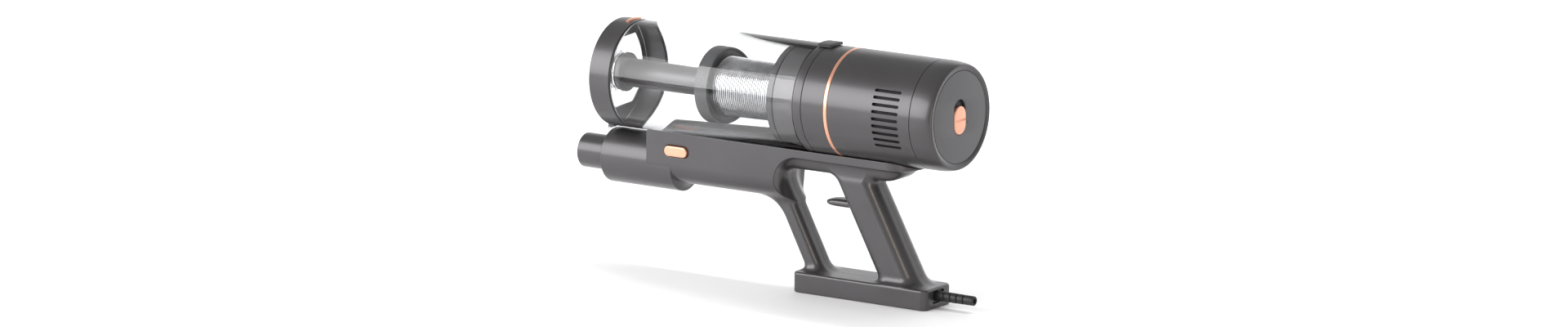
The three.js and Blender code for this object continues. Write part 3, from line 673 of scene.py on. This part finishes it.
def handle_field(x, y, z, side, strut_distance, grip_distance):
    """Below zero inside the handle's moulded shell, which is hollow behind its wall."""
    upper = np.minimum(sleeve_field(x, y, z), wide_field(x, y, z))
    strut = bar_field(strut_distance, y, STRUT)
    grip = bar_field(grip_distance, y, GRIP)
    keel = keel_field(x, y, z)
    foot = foot_field(x, y, z)
    bars = soft_min(soft_min(foot, strut, FOOT_BLEND), soft_min(foot, grip, FOOT_BLEND), 0.5)
    under = soft_min(keel, bars, KEEL_BLEND)
    # The blend fades out forwards, where the strut's outline and the beam's underside coincide.
    fade = np.clip((x - FADE_START) / FADE_LENGTH, 0.06, 1.0)
    solid = soft_min(upper, under, RAIL_BLEND * fade)
    solid = np.maximum(solid, FOOT_Z[0] - z)
    solid = soft_max(solid, TROUGH_R - np.hypot(y, z), 1.2)
    shell = np.maximum(solid, -(solid + WALL))
    return soft_max(shell, -openings_field(x, y, z, side), 0.7)


def grid_axis(low, high):
    return np.arange(low, high + GRID, GRID)


# The twelve edges of a cell: the axis each runs along, and the corner it starts from.
CELL_EDGES = [
    (axis, *np.insert((a, b), axis, 0)) for axis in range(3) for b in (0, 1) for a in (0, 1)
]


def surface_cells(values):
    """One point in each cell that the surface passes through, and a grid of those points' numbers."""
    shape = np.array(values.shape) - 1
    inside = values < 0
    corners = np.zeros(shape, np.uint8)
    for i in (0, 1):
        for j in (0, 1):
            for k in (0, 1):
                corners += inside[i:i + shape[0], j:j + shape[1], k:k + shape[2]]
    cells = np.argwhere((corners > 0) & (corners < 8))
    total = np.zeros((len(cells), 3))
    hits = np.zeros(len(cells))
    for axis, i, j, k in CELL_EDGES:
        start = cells + (i, j, k)
        end = start.copy()
        end[:, axis] += 1
        a = values[start[:, 0], start[:, 1], start[:, 2]]
        b = values[end[:, 0], end[:, 1], end[:, 2]]
        crossed = (a < 0) != (b < 0)
        share = np.where(crossed, a / np.where(a == b, 1, a - b), 0)
        point = start.astype(float)
        point[:, axis] += share
        total[crossed] += point[crossed]
        hits += crossed
    numbers = np.full(shape, -1, int)
    numbers[cells[:, 0], cells[:, 1], cells[:, 2]] = np.arange(len(cells))
    return total / hits[:, None], numbers


def surface_quads(values, numbers):
    """A four-cornered face round each grid edge that the surface crosses."""
    quads = []
    inside = values < 0
    for axis in range(3):
        u, v = [other for other in range(3) if other != axis]
        here = [slice(None)] * 3
        there = [slice(None)] * 3
        here[axis], there[axis] = slice(None, -1), slice(1, None)
        crossed = np.argwhere(inside[tuple(here)] != inside[tuple(there)])
        keep = (crossed[:, u] > 0) & (crossed[:, v] > 0)
        keep &= (crossed[:, u] < values.shape[u] - 1) & (crossed[:, v] < values.shape[v] - 1)
        crossed = crossed[keep]
        ring = []
        for du, dv in ((-1, -1), (0, -1), (0, 0), (-1, 0)):
            cell = crossed.copy()
            cell[:, u] += du
            cell[:, v] += dv
            ring.append(numbers[cell[:, 0], cell[:, 1], cell[:, 2]])
        quads.append(np.stack(ring, 1))
    return np.concatenate(quads)


def handle_at(points, side, outlines):
    x, y, z = points.T
    strut_line, grip_line = outlines
    return handle_field(
        x, y, z, side, outline_distance(strut_line, x, z), outline_distance(grip_line, x, z))


def gradient_at(points, side, outlines, step=0.12):
    parts = []
    for axis in range(3):
        offset = np.zeros(3)
        offset[axis] = step
        ahead = handle_at(points + offset, side, outlines)
        behind = handle_at(points - offset, side, outlines)
        parts.append((ahead - behind) / (2 * step))
    return np.stack(parts, 1)


def settle(points, side, outlines):
    """Moves points onto the surface along its slope."""
    for _ in range(3):
        slope = gradient_at(points, side, outlines)
        value = handle_at(points, side, outlines)
        steep = np.maximum((slope ** 2).sum(1), 0.25)
        shift = np.clip(value / steep, -0.5 * GRID, 0.5 * GRID)
        points = points - shift[:, None] * slope
    return points


PARTING = 0.1                             # half the line between the handle's two shells


def handle_shell(side):
    """One moulded half of the handle, meshed from its field and cut flat at the parting line."""
    outlines = strut_outline(), grip_outline()
    xs, zs = grid_axis(SLEEVE_FRONT - 2, FOOT_X[1] + 2), grid_axis(FOOT_Z[0] - 2, -36)
    reach = BEAM_HALF + 2
    ys = grid_axis(-reach, 2 * GRID) if side < 0 else grid_axis(-2 * GRID, reach)
    flat_x, flat_z = np.meshgrid(xs, zs, indexing="ij")
    strut = outline_distance(outlines[0], flat_x, flat_z)[:, None, :]
    grip = outline_distance(outlines[1], flat_x, flat_z)[:, None, :]
    x, y, z = np.meshgrid(xs, ys, zs, indexing="ij", sparse=True)
    values = handle_field(x, y, z, side, strut, grip)
    cells, numbers = surface_cells(values)
    points = np.array([xs[0], ys[0], zs[0]]) + cells * GRID
    points = settle(points, side, outlines)
    name = "handle_left" if side < 0 else "handle_right"
    thing = new_object(name, points, surface_quads(values, numbers), None)
    part_at_middle(thing.data, side)
    shade_from_field(thing.data, side, outlines)
    return thing


def part_at_middle(mesh, side):
    work = bmesh.new()
    work.from_mesh(mesh)
    everything = work.verts[:] + work.edges[:] + work.faces[:]
    bmesh.ops.bisect_plane(
        work, geom=everything, dist=1e-7, plane_co=(0, side * PARTING * MM, 0), plane_no=(0, -side, 0),
        clear_outer=True)
    rim = [edge for edge in work.edges if edge.is_boundary]
    bmesh.ops.triangle_fill(work, edges=rim, use_beauty=True, normal=(0, -side, 0))
    bmesh.ops.recalc_face_normals(work, faces=work.faces)
    work.to_mesh(mesh)
    work.free()
    mesh.shade_smooth()


def shade_from_field(mesh, side, outlines):
    """Corner normals from the field, apart from the flat face at the parting line."""
    count = len(mesh.vertices)
    flat = np.zeros(count * 3)
    mesh.vertices.foreach_get("co", flat)
    points = flat.reshape(-1, 3) / MM - ORIGIN
    slope = gradient_at(points, side, outlines)
    slope /= np.maximum(np.linalg.norm(slope, axis=1), 1e-9)[:, None]
    corner = np.zeros(len(mesh.loops), int)
    mesh.loops.foreach_get("vertex_index", corner)
    normals = slope[corner]
    face_of_loop = np.repeat(np.arange(len(mesh.polygons)), [p.loop_total for p in mesh.polygons])
    face_normals = np.zeros(len(mesh.polygons) * 3)
    mesh.polygons.foreach_get("normal", face_normals)
    face_normals = face_normals.reshape(-1, 3)[face_of_loop]
    on_line = np.abs(points[corner][:, 1] - side * PARTING) < 0.01
    flat_face = on_line & (face_normals[:, 1] * -side > 0.99)
    wrong = (normals * face_normals).sum(1) < 0.2
    normals[flat_face | wrong] = face_normals[flat_face | wrong]
    mesh.normals_split_custom_set(normals.tolist())


def add_handle():
    finish_piece(handle_shell(-1), "gunmetal", "main", ["handle_shell_left"])
    finish_piece(handle_shell(1), "gunmetal", "main", ["handle_shell_right"])


# ---- Motor housing and rear end

VENT = {"start": 80.0, "length": 28.5, "height": 2.9, "pitch": 7.5, "rows": 9}


def vent_cutters():
    """Round-ended slots through the housing's wall, in a column on each side."""
    half = VENT["height"] / 2
    outline = rectangle((VENT["start"], VENT["start"] + VENT["length"]), (-half, half), half * 0.98, 8)
    slots = []
    for row in range(VENT["rows"]):
        tilt = math.radians((row - (VENT["rows"] - 1) / 2) * VENT["pitch"])
        for side in (-1, 1):
            depth = sorted((side * (BORE_R - 3), side * (BARREL_R + 2)))
            slot = plate("slot", [outline], depth, SIDEWAYS, edge=0.0)
            pivot = Matrix.Translation(Vector(ORIGIN * MM))
            slot.data.transform(pivot @ Matrix.Rotation(tilt, 4, "X") @ pivot.inverted())
            slots.append(slot)
    return merged("vent_cutters", slots)


def box_cutter(name, low, high):
    points = [(x, y, z) for x in (low[0], high[0]) for y in (low[1], high[1]) for z in (low[2], high[2])]
    faces = [(0, 1, 3, 2), (4, 6, 7, 5), (0, 4, 5, 1), (2, 3, 7, 6), (0, 2, 6, 4), (1, 5, 7, 3)]
    return new_object(name, points, faces)


def add_motor_housing():
    front, rear = x_span("motor_housing")
    band = x_span("accent_ring")
    groove = 0.25
    profile = rounded([
        (front, BORE_R, 0), (front, BARREL_R, 0.4), (band[0] - groove, BARREL_R, 0.25),
        (band[0] - groove, BARREL_R - 1.1, 0), (band[1] + groove, BARREL_R - 1.1, 0),
        (band[1] + groove, BARREL_R, 0.25), (rear, BARREL_R, 0.35), (rear, BORE_R, 0),
    ], 4)
    housing = turned("motor_housing_skin", profile, sides=192)
    cut(housing, vent_cutters())
    cut(housing, box_cutter("catch_pocket", (4.9, -7.4, 44), (10.2, 7.4, 52)))
    round_shading(housing)
    finish_piece(housing, "gunmetal", "main", ["motor_housing"])
    crown = rounded([(band[0], BARREL_R - 0.8, 0), (band[0], BARREL_R + 0.13, 0.3),
                     (band[1], BARREL_R + 0.13, 0.3), (band[1], BARREL_R - 0.8, 0)], 4)
    finish_piece(turned("accent_band", crown, sides=192), "copper", "main", ["accent_ring"])


def add_rear_cap():
    front, rear = x_span("rear_cap")
    seam = span("motor_housing")[1][0] + 0.3
    plate_front, plate_rear = x_span("rear_face_plate")
    plate_r = outer_radius("rear_face_plate")
    rim_r = 46.3
    profile = [(seam, BARREL_R - 2.9), (seam, BARREL_R - 0.35), (seam + 0.35, BARREL_R)]
    profile += dome_profile((seam + 5, BARREL_R), (rear - 0.05, rim_r + 0.6), 16)
    profile += [(rear, rim_r), (rear - 0.12, rim_r - 0.7), (rear - 0.75, plate_r + 0.75),
                (rear - 1.1, plate_r + 0.35), (plate_front - 0.3, plate_r + 0.3), (plate_front - 0.3, 39.6),
                (138.2, 39.6), (138.2, 45.2), (front, 45.2), (front, BARREL_R - 2.9)]
    finish_piece(turned("rear_cap_skin", profile, sides=192), "gunmetal", "main", ["rear_cap"])
    slot = rectangle((-9.35, 9.35), (-16.2, 16.2), 9.2, 16)
    face = plate("rear_face", [circle(plate_r, 160), slot], (plate_front, plate_rear), ACROSS, edge=0.35)
    finish_piece(face, "face_grey", "main", ["rear_face_plate"])
    marks = [plate("mark", [rectangle((y - 0.3, y + 0.3), (z - 1.1, z + 1.1), 0.25, 3)],
                   (plate_rear - 0.02, plate_rear + 0.03), ACROSS, edge=0.01)
             for y, z in ((12.4, 6.2), (11.9, -6.2), (12.9, -6.2))]
    finish_piece(merged("speed_marks", marks), "black", "main")


def add_speed_slider():
    high = span("speed_slider")[1]
    width, height, rest = 18.1, 26.0, -2.9
    half = width / 2
    outline = rectangle((-half, half), (rest - height / 2, rest + height / 2), half * 0.98, 16)
    button = plate("slider_button", [outline], (139.9, high[0]), ACROSS, edge=0.9, steps=4)
    groove = turned("groove", [(-7.4, 0.01), (-7.4, 1.0), (7.4, 1.0), (7.4, 0.01)], sides=24)
    spin = Matrix.Rotation(math.radians(90), 4, "Z")
    place = Matrix.Translation(Vector((ORIGIN + [high[0] + 0.25, 0, rest]) * MM))
    home = Matrix.Translation(-Vector(ORIGIN * MM))
    groove.data.transform(place @ spin @ home)
    cut(button, groove)
    button.data.shade_smooth()
    button.data.set_sharp_from_angle(angle=SMOOTH_BELOW)
    finish_piece(button, "copper", "speed_slider", ["speed_slider"])
    # Painted shade: the carriage is made black so that the slot behind the slider button reads dark, as its
    # shade would.
    outline = rectangle((-12, 12), (-23, 17), 3)
    carriage = plate("slider_carriage", [outline], (137.7, 139.7), ACROSS, edge=0.2)
    finish_piece(carriage, "black", "speed_slider")


# ---- Separator

SCREEN_R = outer_radius("mesh_screen")


def add_separator():
    front, rear = x_span("separator_collar")
    collar_r = outer_radius("separator_collar")
    bore = SCREEN_R + 0.9
    profile = rounded([
        (front, bore, 0.3), (front, collar_r, 0.8), (rear, collar_r, 0.3), (rear, collar_r - 2.4, 0),
        (front + 2, collar_r - 2.4, 0), (front + 2, bore, 0),
    ], 4)
    finish_piece(turned("separator_shell", profile), "gunmetal_soft", "main", ["separator_collar"])
    seal_front, seal_rear = x_span("collar_seal")
    lip = rounded([
        (seal_front, bore, 0.3), (seal_front, outer_radius("collar_seal"), 1.4),
        (seal_rear, outer_radius("collar_seal"), 0.5), (seal_rear, bore, 0.3),
    ], 5)
    finish_piece(turned("collar_seal_band", lip), "charcoal", "main", ["collar_seal"])


def add_skirt():
    front, rear = x_span("cyclone_skirt")
    radius = outer_radius("cyclone_skirt")
    profile = rounded([
        (front, 10.7, 0), (front, radius, 1.6), (rear, radius, 0.5), (rear, radius - 1.8, 0.4),
        (rear - 1.6, radius - 3.0, 1.0), (rear - 2.2, SCREEN_R + 1.2, 0.6), (rear - 4, SCREEN_R + 1.0, 0),
        (rear - 4, 10.7, 0),
    ], 5)
    finish_piece(turned("cyclone_skirt_skin", profile), "charcoal", "main", ["cyclone_skirt"])


def add_centre_tube():
    front, rear = x_span("centre_tube")
    flare = outer_radius("centre_tube")
    tube_r = 12.7
    profile = rounded([
        (front, tube_r - 2, 0.3), (front, flare - 1.4, 0.6), (front + 2.6, flare, 0.9),
        (front + 6.2, flare, 0.8), (front + 7.6, tube_r, 1.2), (rear, tube_r, 0.2), (rear, tube_r - 2, 0),
    ], 5)
    finish_piece(turned("centre_tube_skin", profile, sides=96), "gunmetal_soft", "main", ["centre_tube"])


def wire_ring(x, radius, wire, section=6):
    turn = np.linspace(0, 2 * np.pi, section, endpoint=False)
    return [(x + wire * math.cos(t), radius + wire * math.sin(t)) for t in turn]


def add_mesh_screen():
    """Woven metal: close round wires across, finer ones along, over a thin black drum that is painted shade
    for the inside of the screen.
    """
    front, rear = x_span("mesh_screen")
    wire = 0.42
    radius = SCREEN_R - wire
    pitch = 2.1
    rings = []
    for i in range(int((rear - front - 5) / pitch)):
        profile = wire_ring(front + 4 + pitch * (i + 0.5), radius, wire)
        rings.append(turned("wire", profile, sides=128))
    finish_piece(merged("screen_hoops", rings), "wire", "main", ["mesh_screen"])
    along = []
    count = 84
    fine = 0.13
    for i in range(count):
        turn = 2 * math.pi * i / count
        outline = circle(fine, 5, ((radius - 0.1) * math.cos(turn), (radius - 0.1) * math.sin(turn)))
        along.append(plate("wire", [outline], (front + 3.5, rear - 0.3), ACROSS, edge=0.0))
    finish_piece(merged("screen_lengthwise_wires", along), "wire", "main")
    # Painted shade: a thin black drum just inside the wires darkens the screen, as the shade inside it would.
    drum = ring_profile(front + 3.6, rear - 0.1, SCREEN_R - 1.1, SCREEN_R - 0.95, 0.05, 0.05)
    finish_piece(turned("screen_shade_drum", drum, sides=96), "black", "main")


# ---- Dust cup, lid and latches

def add_dust_cup():
    front, rear = x_span("dust_cup")
    profile = ring_profile(front, rear, BORE_R, BARREL_R, 0.6, 0.4)
    finish_piece(turned("dust_cup_shell", profile, sides=192), "clear", "cup", ["dust_cup"])
    front, rear = x_span("cup_end_ring")
    profile = ring_profile(front, rear, BORE_R, BARREL_R, 0.35)
    finish_piece(turned("cup_rear_band", profile, sides=192), "gunmetal", "cup", ["cup_end_ring"])
    front, rear = x_span("cup_gasket")
    profile = ring_profile(front, rear, 47.3, BARREL_R - 0.15, 0.3)
    finish_piece(turned("cup_gasket_ring", profile, sides=192), "black", "cup", ["cup_gasket"])


LID_HINGE_X, LID_HINGE_Z = -232.6, -48.8
RING_FRONT = -230.6
LATCH_FRONT = -217.4
LATCH_HALF = 10.0


def cross_bar(name, x, z, radius, y_range, edge=0.3):
    return plate(name, [circle(radius, 32, (x, z))], y_range, SIDEWAYS, edge=edge)


def add_front_ring():
    latch_rear = x_span("lid_latch")[1]
    front, rear = RING_FRONT, span("cup_gasket")[0][0] - 0.3
    ring = turned("front_band", ring_profile(front, rear, 47, BARREL_R, 0.8, 0.5), sides=192)
    notch_half = LATCH_HALF + 0.4
    low = (LATCH_FRONT - 0.4, -notch_half, 40)
    high = (latch_rear + 0.4, notch_half, 53)
    cut(ring, box_cutter("latch_notch", low, high))
    round_shading(ring)
    finish_piece(ring, "gunmetal", "cup", ["front_ring"])
    lugs = []
    for y_range in ((-13.2, -8.9), (8.9, 13.2)):
        outline = rounded([
            (LID_HINGE_X - 2.3, LID_HINGE_Z - 2.3, 2.2), (front + 1.2, LID_HINGE_Z - 1.1, 0),
            (front + 1.2, LID_HINGE_Z + 1.6, 0), (LID_HINGE_X - 2.3, LID_HINGE_Z + 2.3, 2.2),
        ], 8)
        lugs.append(plate("lug", [outline], y_range, SIDEWAYS, edge=0.35))
    finish_piece(merged("lid_hinge_lugs", lugs), "gunmetal", "cup")


def lid_opening():
    """The lid's window: a round opening cut off straight above and below."""
    radius, low, high = 41.0, -32.0, 29.0
    points = []
    for start, end in ((math.asin(low / radius), math.asin(high / radius)),
                       (math.pi - math.asin(high / radius), math.pi - math.asin(low / radius))):
        points += [(radius * math.cos(t), radius * math.sin(t)) for t in np.linspace(start, end, 40)]
    return points


def add_lid():
    front = RING_FRONT
    frame_plate = plate("lid_plate", [circle(46.4, 160), lid_opening()], (front, -229.0), ACROSS, edge=0.3)
    arm = plate("arm", [rectangle((-8.4, 8.4), (LID_HINGE_Z - 1.6, -42.2), 1.4)],
                (LID_HINGE_X - 0.4, front - 0.05), ACROSS, edge=0.4)
    knuckle = cross_bar("knuckle", LID_HINGE_X, LID_HINGE_Z, 1.9, (-8.4, 8.4))
    finish_piece(merged("lid_frame_plate", [frame_plate, arm, knuckle]), "charcoal", "lid", ["lid_frame"])
    pane = plate("pane", [circle(46.4, 160)], (-228.7, -226.7), ACROSS, edge=0.3)
    seat = turned("seat", ring_profile(-226.65, -223.2, 16.6, 18.4, 0.4), sides=96)
    finish_piece(merged("lid_pane", [pane, seat]), "clear", "lid", ["lid_window"])
    rim = plate("opening_rim", [lid_opening(), [(0.975 * y, 0.975 * z) for y, z in lid_opening()]],
                (front + 0.3, -228.9), ACROSS, edge=0.15)
    finish_piece(rim, "wire", "lid")
    seal = turned("lid_seal_ring", ring_profile(-226.4, -223.2, 11.7, 16.2, 0.6, 0.6), sides=96)
    finish_piece(seal, "rubber", "lid", ["lid_seal"])


def add_lid_latch():
    rear = x_span("lid_latch")[1]
    half_turn = math.asin((LATCH_HALF - 0.2) / BARREL_R)
    top = span("lid_latch")[1][2]
    tab = arc_piece("latch_tab", (LATCH_FRONT, rear), (BARREL_R - 2.8, top), half_turn, 0.7, 24)
    finger = plate("finger", [rectangle((-5, 5), (44.2, 47.6), 0.6)], (-226.4, rear - 1), ACROSS, edge=0.4)
    finish_piece(merged("lid_latch_tab", [tab, finger]), "copper", "lid_latch", ["lid_latch"])


def skin_faces(rows, count):
    """Faces that join rows of points into a tube, with a face closing each end."""
    faces = []
    for i in range(rows - 1):
        for j in range(count):
            after = (j + 1) % count
            here, above = i * count, (i + 1) * count
            faces.append((here + j, here + after, above + after, above + j))
    faces.append(tuple(range(count)))
    faces.append(tuple(range((rows - 1) * count, rows * count)))
    return faces


def arc_piece(name, x_range, radii, half_turn, edge, steps):
    """A piece of a ring at the top of the barrel, with rounded edges and ends."""
    x0, x1 = x_range
    r0, r1 = radii
    section = rounded([(x0, r0, 0.2), (x0, r1, edge), (x1, r1, edge), (x1, r0, 0.2)], 4)
    centre = np.array([(x0 + x1) / 2, (r0 + r1) / 2])
    turns = np.linspace(-half_turn, half_turn, steps + 1)
    shrink = [(turns[0], 1 - edge / (r1 - r0) * 0.6), *[(t, 1.0) for t in turns[1:-1]],
              (turns[-1], 1 - edge / (r1 - r0) * 0.6)]
    shrink[1] = (turns[0] + edge / r1, 1.0)
    shrink[-2] = (turns[-1] - edge / r1, 1.0)
    points = []
    for turn, size in shrink:
        for x, r in centre + (section - centre) * [1 - (1 - size) * 0.4, size]:
            points.append((x, r * math.sin(turn), r * math.cos(turn)))
    count, rows = len(section), len(shrink)
    return new_object(name, points, skin_faces(rows, count))


def add_cup_catch():
    front, rear = x_span("cup_catch")
    top = span("cup_catch")[1][2]
    lever = arc_piece("lever", (front, rear), (BARREL_R + 0.5, top), math.asin(9.8 / BARREL_R), 0.9, 18)
    neck = plate("neck", [rectangle((-6.9, 6.9), (46.2, 51), 0.8)], (5.8, 9.2), ACROSS, edge=0.5)
    ridges = [arc_piece("ridge", (x, x + 0.8), (top - 0.35, top + 0.02), math.asin(7 / BARREL_R), 0.15, 12)
              for x in (-3.2, -1.4, 0.4)]
    catch = merged("cup_catch_lever", [lever, neck, *ridges])
    finish_piece(catch, "charcoal", "cup_catch", ["cup_catch"])


# ---- Handle fittings

def add_release_button():
    outer = float(span("tube_release_button")[0][1])
    half_length, half_height = BUTTON_LENGTH / 2, BUTTON_HEIGHT / 2
    outline = rectangle((BUTTON_X - half_length, BUTTON_X + half_length),
                        (BUTTON_Z - half_height, BUTTON_Z + half_height), half_height * 0.98, 16)
    cap = plate("release_button_cap", [outline], (outer, -22.6), SIDEWAYS, edge=1.3, steps=5)
    finish_piece(cap, "copper", "tube_button", ["tube_release_button"])
    skirt = rectangle((BUTTON_X - half_length - 1.1, BUTTON_X + half_length + 1.1),
                      (BUTTON_Z - half_height - 1.1, BUTTON_Z + half_height + 1.1), half_height, 12)
    flange = plate("release_button_skirt", [skirt], (-22.5, -21.1), SIDEWAYS, edge=0.2)
    finish_piece(flange, "black", "tube_button")


def add_trigger():
    """A lens-shaped finger paddle on a flat arm."""
    tip, root = span("trigger")[0][0], span("trigger")[1][0]
    half_width = float(span("trigger")[1][1])
    stations = 40
    points = []
    section = 24
    turns = np.linspace(0, 2 * np.pi, section, endpoint=False)
    for i in range(stations + 1):
        x = tip + (root - tip) * i / stations
        near_tip = min(1.0, (x - tip) / 16)
        thick = 3.8 * math.sqrt(max(1 - (1 - near_tip) ** 2, 0.004))
        wide = half_width * math.sqrt(max(1 - (1 - min(1.0, (x - tip) / 8)) ** 2, 0.01))
        droop = -92.9 + 0.25 * near_tip
        for turn in turns:
            y = wide * math.copysign(abs(math.cos(turn)) ** 0.6, math.cos(turn))
            z = thick * math.copysign(abs(math.sin(turn)) ** 0.8, math.sin(turn))
            points.append((x, y, droop + z))
    paddle = new_object("trigger_paddle", points, skin_faces(stations + 1, section), math.radians(50))
    finish_piece(paddle, "gunmetal", "trigger", ["trigger"])


def add_inlet():
    front, rear = x_span("inlet_tube")
    profile = rounded([
        (front, INLET_R - 1.8, 0.5), (front, INLET_R, 0.8), (rear, INLET_R, 0.3), (rear, INLET_R - 1.8, 0.3),
    ], 5)
    finish_piece(turned("inlet_pipe", profile, INLET_Z, 128), "gunmetal", "inlet", ["inlet_tube"])
    front, rear = x_span("tube_socket")
    rim = outer_radius("tube_socket")
    inner = INLET_R + 0.4
    profile = rounded([
        (front + 0.6, inner, 0.4), (front, rim, 0.4), (front + 4, rim, 0), (front + 4, inner + 1.8, 0),
        (rear, inner + 1.8, 0), (rear, inner, 0),
    ], 4)
    finish_piece(turned("socket_rim", profile, INLET_Z, 128), "charcoal", "main", ["tube_socket"])


def add_foot_fittings():
    low, high = span("foot_cover")
    holes = [circle(2.9, 24, (x, y)) for x, y in ((-13, -12), (106, 12))]
    outline = rectangle((low[0], high[0]), (low[1], high[1]), 2.7)
    cover = plate("foot_plate", [outline, *holes], (low[2], high[2]), PLAN, edge=0.4)
    finish_piece(cover, "charcoal", "main", ["foot_cover"])
    front, rear = x_span("strain_relief")
    low, high = span("strain_relief")
    axis_z = float(low[2] + high[2]) / 2
    profile = [(front, 2.4, 0), (front, 5.1, 0.2), (front + 2.5, 5.1, 0.2), (front + 2.5, 4.7, 0)]
    for x in (127.0, 134.0, 141.0, 148.0):
        radius = 4.7 - (x - 120) * 0.01
        profile += [(x, radius, 0.35), (x + 0.15, radius - 1.0, 0.1), (x + 1.15, radius - 1.0, 0.1),
                    (x + 1.3, radius, 0.35)]
    profile += [(rear, 4.3, 0.7), (rear, 2.4, 0.4)]
    finish_piece(turned("strain_relief_sleeve", rounded(profile, 3), axis_z, 64), "rubber", "main",
                 ["strain_relief"])


def add_screw_heads():
    """Cross-recessed heads at the bottom of their wells on the right side."""
    heads = []
    for x, z in SCREW_PLACES:
        head = cross_bar("head", x, z, 2.45, (8.15, 9.9), edge=0.35)
        for wide, tall in ((1.9, 0.4), (0.4, 1.9)):
            cut(head, box_cutter("recess", (x - wide, 9.2, z - tall), (x + wide, 12, z + tall)))
        heads.append(head)
    finish_piece(merged("screw_heads", heads), "steel", "main")


# ---- Carried-over CAD nodes

def dress_cad_nodes():
    """Every CAD node that still shows takes the look of its slot in the record."""
    slots = {part["node"]: part["material_slot"] for part in frame["record"]["subparts"]}
    for name, thing in frame["nodes"].items():
        look = SLOT_LOOKS.get(slots.get(name), "charcoal")
        thing.data.materials.clear()
        thing.data.materials.append(MATERIALS[look])


add_camera()
add_studio()
add_floor()
dress_cad_nodes()
add_handle()
add_motor_housing()
add_rear_cap()
add_speed_slider()
add_separator()
add_skirt()
add_centre_tube()
add_mesh_screen()
add_dust_cup()
add_front_ring()
add_lid()
add_lid_latch()
add_cup_catch()
add_release_button()
add_trigger()
add_inlet()
add_foot_fittings()
add_screw_heads()
